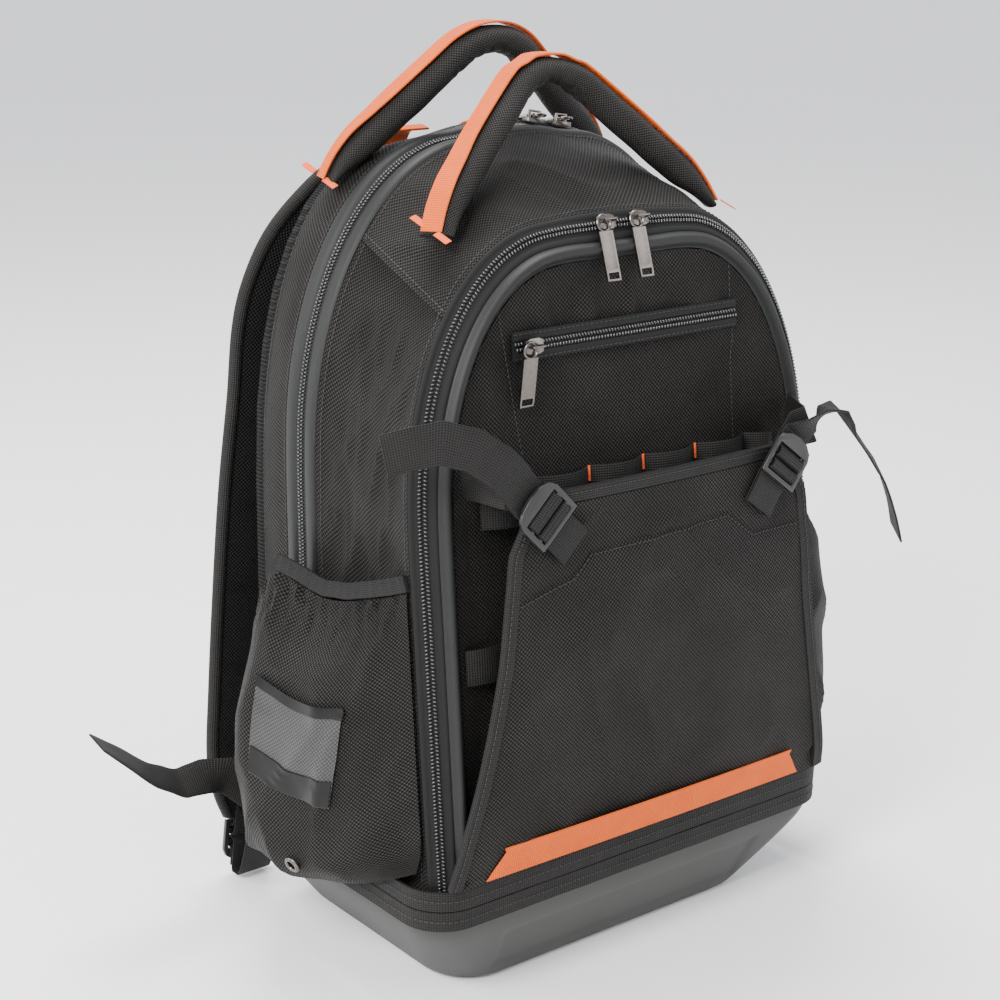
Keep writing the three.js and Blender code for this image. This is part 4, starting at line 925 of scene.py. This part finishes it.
def flap():
    def offset(p, along, across):
        high = eased(p.z, 0.18, 0.3)
        soft = fold(p, 9, seed=5.5) * 4.0 * MM
        drawn = crease(p + Vector((0, 0, abs(p.x) * 0.6)), 15, (0.8, 1, 1.3), 7.7) * 3.4 * MM * high
        hung = crease(p + Vector((p.z * 0.3, 0, 0)), 13, (1.3, 1, 0.45), 2.7) * 2.4 * MM * (1 - high)
        seam = 1.3 * MM * math.exp(-(gap_to(p.x, p.z, FLAP_SEAM) / (1.8 * MM)) ** 2)
        folds = held(along, 0.08) * held(across, 0.08) * (soft + drawn + hung - 2 * MM)
        return folds - held(across, 0.04) * seam

    rows = shaped(wall_rows("front_flap", 14, 2.5 * MM, 110), offset)
    piece = cloth_wall("flap_cloth", rows, "cloth", "front_flap", flat=(0, 2))
    seam_on(piece, [(x, z - 2.4 * MM) for x, z in FLAP_SEAM])
    rows = wall_rows("flap_stripe", 14, 4 * MM, 70)
    cloth_wall("flap_stripe_webbing", rows, "orange", "flap_stripe", flat=(0, 2))


# Side pockets


def pockets():
    for side, sign, seed in (("left", -1, 2.0), ("right", 1, 6.0)):
        rows = wall_rows(f"side_pocket_{side}", 16, 3 * MM, 64, slope=0.088)
        if rows[0][0][0].z > rows[0][0][-1].z:
            rows = [(outer[::-1], inner[::-1]) for outer, inner in rows]

        def offset(p, along, across):
            down = 1 - across
            wave = math.sin(p.y * 560 + 5 * fold(p, 34, seed=seed))
            wave += 0.6 * math.sin(p.y * 1180 + 9 * fold(p, 50))
            gather = wave * (1.5 + fold(p, 30, seed=seed)) * 1.1 * MM * (1 - eased(down, 0.02, 0.34))
            bag = fold(p, 20, (1, 1.2, 0.8), seed) * 4.0 * MM
            hang = crease(p + Vector((0, p.z * 0.4, 0)), 18, (1, 1.3, 0.7), seed) * 3.2 * MM
            sagged = (bag + hang - 2 * MM) * eased(down, 0.08, 0.3) * (1 - eased(down, 0.9, 1))
            return held(along, 0.08) * (gather * eased(down, 0, 0.02) + sagged)

        rows = shaped(rows, offset)
        cloth_wall(f"pocket_bag_{side}", rows, "cloth", f"side_pocket_{side}")
        if side == "left":
            identity_window(rows)
        fitted(rounded_copy(f"eyelet_ring_{side}", f"eyelet_{side}", 0.3 * MM), "nickel", f"eyelet_{side}")


# Pieces on the left pocket: look, node, lift and thickness in mm, and corners as shares of the pocket's
# length from the front and of its height from the hem
WINDOW = {
    "window_film": ("film", "id_window", 1.6, 0.5,
                    [(0.607, 0.635), (0.213, 0.587), (0.279, 0.349), (0.615, 0.413)]),
    "window_label": ("card", "id_label", 2.4, 0.5,
                     [(0.607, 0.475), (0.265, 0.413), (0.279, 0.352), (0.615, 0.416)]),
    "window_band": ("card", "id_band", 2.6, 0.6,
                    [(0.607, 0.638), (0.207, 0.592), (0.215, 0.566), (0.607, 0.612)]),
}


def on_wall(rows, u, v):
    """Place and outward direction on a wall, by shares of its length and height."""
    at, up = u * (len(rows) - 1), v * (len(rows[0][0]) - 1)
    i, j = min(int(at), len(rows) - 2), min(int(up), len(rows[0][0]) - 2)
    low = blended(rows[i][0][j], rows[i + 1][0][j], at - i)
    high = blended(rows[i][0][j + 1], rows[i + 1][0][j + 1], at - i)
    return blended(low, high, up - j), outwards(rows, i, j)


def identity_window(rows):
    for name, (look, node, lift, thick, (a, b, c, d)) in WINDOW.items():
        made = []
        for i in range(31):
            outer, inner = [], []
            for j in range(25):
                s, t = i / 30, j / 24
                u, v = (blended(blended(a[k], b[k], s), blended(d[k], c[k], s), t) for k in (0, 1))
                at, out = on_wall(rows, u, v)
                rise = lift * MM + fold(at, 75, seed=4.0) * 0.6 * MM
                outer.append(at + out * rise)
                inner.append(at + out * (rise - thick * MM))
            made.append((outer, inner))
        cloth_wall(name, made, look, node)


# Handles


def handles():
    for name, seed in (("front", 1.0), ("rear", 4.0)):
        rings = drawn_out(sections_of(f"handle_{name}", 10), 3 * MM)
        rows = []
        for i, ring in enumerate(rings):
            at = middle(ring)
            share = i / (len(rings) - 1)
            arch = eased(min(share, 1 - share), 0.3, 0.45)
            row = []
            for p in along_curve(ring, 36, loop=True):
                out = (p - at).normalized()
                bend = crease(p, 75, (1.8, 0.5, 0.6), seed) * 3.4 * MM * max(0, -out.z) * arch
                row.append(p + out * (fold(p, 45, seed=seed) * 0.6 * MM - bend))
            rows.append(row)
        piece = fitted(skin(f"handle_sleeve_{name}", rows), "sleeve", f"handle_{name}")
        shift = Vector((0, 1.6 * MM, 0))
        route = [(at + shift, side * 0.7, up) for at, side, up in strap_route(f"handle_webbing_{name}")]
        fitted(skin(f"handle_orange_{name}", strap_sections(route)), "orange", f"handle_webbing_{name}")
        along = Vector((0, -1, -0.3)).normalized()
        for at, _, _ in (route[0], route[-1]):
            out = at - INSIDE
            out = (out - along * out.dot(along)).normalized()
            for way in (-1, 1):
                bartack(at + along * (way * 12 * MM) + out * 1.2 * MM, along, out, 12 * MM, 5 * MM)


# Shoulder straps


# The back panel's face and the pads, in mm
BACK_FACE = {"y": 99.7, "lean": -0.0081, "foot": 74.3}
PAD = {"low": 41, "high": 489, "thick": 13, "width": 71, "off": 31, "base": 167, "gap": 0.3}
# Shares of a pad's height, its distance from the middle, from the back face, and its width
PAD_ROWS = [
    (1.000, 0.228, 0.16, 0.73), (0.969, 0.287, 0.39, 0.85), (0.924, 0.407, 0.65, 0.93),
    (0.857, 0.539, 0.90, 0.97), (0.779, 0.617, 1.00, 1.00), (0.645, 0.665, 1.00, 1.00),
    (0.511, 0.713, 1.00, 1.00), (0.364, 0.760, 0.97, 0.97), (0.203, 0.802, 0.97, 0.93),
    (0.096, 0.826, 0.94, 0.90), (0.038, 0.832, 0.90, 0.76), (0.000, 0.844, 0.87, 0.54),
]
PAD_SECTION = all_round([(-1, 0), (-0.97, 0.32), (-0.86, 0.62), (-0.72, 0.86), (-0.5, 1), (-0.25, 1), (0, 1)])
BINDING_SECTION = [(math.cos(t * math.pi / 8), math.sin(t * math.pi / 8)) for t in range(16)]
QUILT = {"step": 0.055, "wide": 3 * MM, "deep": 0.28}


def pad_route(sign):
    """A pad's middle, half-width and half-thickness vectors along its length."""
    stops = []
    for rise, x, off, width in PAD_ROWS:
        z = blended(PAD["low"], PAD["high"], rise)
        back = BACK_FACE["y"] + BACK_FACE["lean"] * (z - BACK_FACE["foot"])
        y = back + PAD["gap"] + PAD["thick"] / 2 + PAD["off"] * off
        stops.append((Vector((sign * x * PAD["base"], y, z)) * MM, PAD["width"] * width * MM))
    made = []
    for i, (at, width) in enumerate(stops):
        along = (stops[min(i + 1, len(stops) - 1)][0] - stops[max(i - 1, 0)][0]).normalized()
        side = (Vector((1, 0, 0)) - along * along.x).normalized()
        up = along.cross(side).normalized()
        made.append([at, at + side * (width / 2), at + up * (PAD["thick"] / 2 * MM)])
    return [(c, a - c, b - c) for c, a, b in drawn_out(made, 4 * MM)]


def shoulder_straps():
    for side, sign in (("left", -1), ("right", 1)):
        route = pad_route(sign)
        rows = []
        for i, (at, wide, up) in enumerate(route):
            quilt = math.exp(-((i * 4 * MM % QUILT["step"] - QUILT["step"] / 2) / QUILT["wide"]) ** 2)
            row = []
            for a, b in PAD_SECTION:
                slack = 1 - QUILT["deep"] * quilt * (abs(b) > 0.9) - 0.16 * (0.6 < abs(a) < 0.9)
                row.append(at + wide * a * 0.97 + up * (b * slack))
            rows.append(row)
        piece = fitted(skin(f"shoulder_pad_{side}", rows), "mesh", f"shoulder_strap_{side}")
        for edge, way in (("inner", -sign), ("outer", sign)):
            rows = []
            for at, wide, up in route:
                spot = at + wide * (way * (1 - 4.0 * MM / wide.length))
                half = wide.normalized() * (4.4 * MM)
                rows.append([spot + half * a + up * (b * 0.74) for a, b in BINDING_SECTION])
            fitted(skin(f"shoulder_binding_{edge}_{side}", rows), "webbing")
        fitted(skin(f"lock_loop_{side}", lock_loop(sign, route[-1][0])), "webbing")


# The ladder lock under a pad, in mm, and the webbing's way round its bar in shares of its reach
LOCK = {"out": 3, "below": 17.5, "bar": -8, "along": (0.12, -0.99), "reach": 3.1, "half": 12.5, "thick": 1.4,
        "tail": 28}
LOCK_LOOP = [(-2.58, -1.68), (-0.19, -1.52), (0.71, -0.90), (1.00, 0.00), (0.68, 0.81),
             (0.00, 1.00), (-0.68, 0.81), (-1.00, 0.00), (-1.35, -0.94), (-2.39, -1.03)]


def lock_loop(sign, end):
    """Webbing from the pad's end round the ladder lock's bar and back."""
    reach = LOCK["reach"]
    centre = end + Vector((sign * LOCK["out"], 0, -LOCK["below"])) * MM
    along = Vector((sign * LOCK["along"][0], 0, LOCK["along"][1])).normalized()
    out = Vector((0, 1, 0))
    side = out.cross(along)
    tail = -(LOCK["tail"] + LOCK["bar"]) / reach
    stops = [(tail, LOCK_LOOP[0][1]), *LOCK_LOOP, (tail, LOCK_LOOP[-1][1])]
    places = [centre + along * (LOCK["bar"] + a * reach) * MM + out * (b * reach * MM) for a, b in stops]
    rows = []
    for i, at in enumerate(places):
        way = (places[min(i + 1, len(places) - 1)] - places[max(i - 1, 0)]).normalized()
        up = way.cross(side).normalized()
        rows.append([at, at + side * (LOCK["half"] * MM), at + up * (LOCK["thick"] / 2 * MM)])
    return strap_sections([(c, a - c, b - c) for c, a, b in drawn_out(rows, 1.5 * MM)])


# Zip pulls, sliders and buckles


# One tape from edge to edge: shares of its half-width, and its height in units of 0.9 mm
TAPE_SECTION = [(-1, 0), (-0.97, 0.9), (-0.55, 1), (-0.42, 1.1), (-0.34, 0.5), (-0.3, 0.3), (0.3, 0.3),
                (0.34, 0.5), (0.42, 1.1), (0.55, 1), (0.97, 0.9), (1, 0), (0.9, -0.9), (0, -0.9),
                (-0.9, -0.9)]


def pocket_zip():
    low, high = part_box("pocket_zip")
    tall = (high.z - low.z) / 2
    centre = Vector((0, high.y - tall * 0.09 - 0.9 * MM, (low.z + high.z) / 2))
    half, rise = (high.x - low.x) / 2, tall * 0.98
    rows, line = [], []
    for i in range(61):
        at = centre + Vector((blended(-half, half, i / 60), 0, 0))
        wave = fold(at, 30, seed=3.0) * 0.4 * MM
        rows.append([at + FRONT_UP * (rise * a) + FRONT_OUT * (b * 0.9 * MM + wave) for a, b in TAPE_SECTION])
        line.append(at + FRONT_OUT * (1.1 * MM + wave))
    fitted(skin("pocket_zip_tape", rows), "zip_web", "pocket_zip")
    outs = [FRONT_OUT] * len(line)
    zip_teeth("pocket_zip_teeth", line, outs, [FRONT_UP] * len(line))
    for share in (-0.8, 0.8):
        stitch_row([p + FRONT_UP * (rise * share) - FRONT_OUT * 0.15 * MM for p in line], outs)


# Each pull's joint and the tilt of the wall behind it in degrees, or None where the joint's axis gives it
PULLS = {
    "front_pull_left": ("front_left_swing", -30), "front_pull_right": ("front_right_swing", -30),
    "main_pull_left": ("main_left_swing", None), "main_pull_right": ("main_right_swing", None),
    "pocket_pull": ("pocket_swing", -5.14),
}
PULL_REST = 12
PULL = {"length": 30, "width": 10.5, "thick": 1.8, "rim": 1.3, "window": 4.4, "ring": 5, "wire": 0.75,
        "drop": 2, "side": 4.4, "under": 1.9}


def pull_frame(joint, tilt):
    """Place and turn of a pull that hangs from its slider."""
    row = next(j for j in frame["joints"] if j["name"] == joint)
    turn = Matrix.Rotation(math.radians(PULL_REST), 4, "X")
    if tilt is None:
        slope = math.atan2(-row["axis"][2], row["axis"][0])
        facing = Matrix.Rotation(math.pi, 4, "Z") @ Matrix.Rotation(-slope, 4, "Y")
        base = facing @ Matrix.Rotation(-math.pi / 2, 4, "X")
    else:
        base = Matrix.Rotation(math.radians(tilt), 4, "X")
    return Matrix.Translation(Vector(row["pos_m"])) @ base @ turn


def pull_plate():
    """A bare plate with a raised rim and a window at its foot, set below the place where its wire ring hangs."""
    p = {key: value * MM for key, value in PULL.items()}
    bm = bmesh.new()
    bmesh.ops.create_cube(bm, size=1)
    bmesh.ops.scale(bm, vec=(p["width"], p["thick"], p["length"]), verts=bm.verts)
    bmesh.ops.bisect_plane(bm, geom=bm.verts[:] + bm.edges[:] + bm.faces[:], plane_no=(0, 0, 1),
                           plane_co=(0, 0, -p["length"] / 2 + p["window"] + 1.5 * p["rim"]))
    fronts = [f for f in bm.faces if abs(f.normal.y) > 0.9]
    bmesh.ops.inset_individual(bm, faces=fronts, thickness=p["rim"], depth=0, use_even_offset=True)
    foot = -p["length"] / 2 + p["window"] + p["rim"]
    for face in [f for f in fronts if f.calc_center_median().z > foot]:
        inwards = -face.normal * 0.4 * MM
        bmesh.ops.translate(bm, vec=inwards, verts=face.verts)
    holes = [f for f in fronts if f.calc_center_median().z < foot]
    rims = [e for f in holes for e in f.edges]
    bmesh.ops.delete(bm, geom=holes, context="FACES_ONLY")
    bmesh.ops.bridge_loops(bm, edges=rims)
    bmesh.ops.recalc_face_normals(bm, faces=bm.faces)
    edges_rounded(bm, 0.22 * MM, clamp=False)
    top = -p["drop"] - p["ring"] + p["wire"] / 2
    bmesh.ops.translate(bm, vec=(-p["side"], p["under"], top - p["length"] / 2), verts=bm.verts)
    return bm


QUARTER_TURN = Matrix.Rotation(math.pi / 2, 3, "X")


def ring_of_wire(radius, wire):
    bm = bmesh.new()
    circle = bmesh.ops.create_circle(bm, segments=10, radius=wire)
    bmesh.ops.translate(bm, vec=(radius, 0, 0), verts=circle["verts"])
    bmesh.ops.rotate(bm, cent=(radius, 0, 0), matrix=QUARTER_TURN, verts=circle["verts"])
    bmesh.ops.spin(bm, geom=bm.verts[:] + bm.edges[:], cent=(0, 0, 0), axis=(0, 0, 1), angle=2 * math.pi,
                   steps=28, use_merge=True)
    bmesh.ops.recalc_face_normals(bm, faces=bm.faces)
    return bm


def pulls():
    for node, (joint, tilt) in PULLS.items():
        place = pull_frame(joint, tilt)
        bm = pull_plate()
        ring = ring_of_wire(PULL["ring"] * MM, PULL["wire"] * MM)
        bmesh.ops.rotate(ring, cent=(0, 0, 0), matrix=QUARTER_TURN, verts=ring.verts)
        hang = Vector((-PULL["side"], PULL["under"], -PULL["drop"])) * MM
        bmesh.ops.translate(ring, vec=hang, verts=ring.verts)
        mesh = bpy.data.meshes.new("ring")
        ring.to_mesh(mesh)
        ring.free()
        bm.from_mesh(mesh)
        bmesh.ops.transform(bm, matrix=place, verts=bm.verts)
        body = next(b for b, nodes in frame["record"]["behaviour"]["bodies"].items() if node in nodes)
        fitted(finished_mesh(f"{node}_plate", bm, 35), "nickel", node, body=body)


def fittings():
    for name in ("front_slider_left", "front_slider_right", "main_slider_left", "main_slider_right",
                 "pocket_slider"):
        fitted(rounded_copy(f"{name}_body", name, 0.35 * MM), "nickel", name)
    for name in ("buckle_left", "buckle_right", "strap_buckle_left", "strap_buckle_right"):
        fitted(rounded_copy(f"{name}_lock", name, 0.7 * MM, 3), "plastic", name)


# Studio


CAMERA = {"place": (-0.80578, -0.98565, 0.65747), "azimuth": -38.31, "elevation": 16.76, "roll": 0.56,
          "lens": 73.56, "sensor": 36}
# Disk lamps that look at the bag: place, size and power
LAMPS = {
    "key": ((-1.7, -0.7, 1.5), 0.9, 80), "fill": ((1.7, -1.9, 1.0), 1.4, 18),
    "top": ((0.3, 0.7, 2.2), 1.2, 65), "rim": ((-1.8, 1.2, 1.0), 0.9, 24),
}
LAMP_AIM = Vector((0, 0, 0.28))


def studio():
    a, e, r = (math.radians(CAMERA[key]) for key in ("azimuth", "elevation", "roll"))
    back = Vector((math.sin(a) * math.cos(e), -math.cos(a) * math.cos(e), math.sin(e)))
    right = (-back).cross(Vector((0, 0, 1))).normalized()
    up = right.cross(-back)
    across = right * math.cos(r) + up * math.sin(r)
    upright = up * math.cos(r) - right * math.sin(r)
    lens = bpy.data.cameras.new("camera")
    lens.lens = CAMERA["lens"]
    lens.sensor_width = CAMERA["sensor"]
    camera = bpy.data.objects.new("camera", lens)
    camera.matrix_world = Matrix((across, upright, back)).transposed().to_4x4()
    camera.location = CAMERA["place"]
    bpy.context.scene.collection.objects.link(camera)
    bpy.context.scene.camera = camera

    bm = bmesh.new()
    bmesh.ops.create_grid(bm, x_segments=1, y_segments=1, size=30)
    floor = finished_mesh("floor", bm)
    floor.data.materials.append(moulded("floor_paper", (0.86,) * 3, (0.9,) * 3, 40.0, 0.0, (0.7, 0.8)))

    world = bpy.data.worlds.new("studio")
    world.use_nodes = True
    sky = world.node_tree.nodes["Background"]
    sky.inputs["Color"].default_value = (0.95, 0.96, 1.0, 1)
    sky.inputs["Strength"].default_value = 1.45
    bpy.context.scene.world = world
    for name, (place, size, power) in LAMPS.items():
        light = bpy.data.lights.new(name, "AREA")
        light.shape = "DISK"
        light.size = size
        light.energy = power
        lamp = bpy.data.objects.new(name, light)
        lamp.location = place
        lamp.rotation_euler = (Vector(place) - LAMP_AIM).to_track_quat("Z", "Y").to_euler()
        bpy.context.scene.collection.objects.link(lamp)


studio()
tray()
trims()
side_panels()
top_panel()
gusset_and_piping()
arch_zips()
front_panel()
back_panel()
flap()
pockets()
handles()
straps()
shoulder_straps()
pocket_zip()
pulls()
fittings()
fitted(repeated("stitching", THREAD, stitches), "thread")
fitted(repeated("orange_bartacks", THREAD, orange_stitches), "orange_thread")
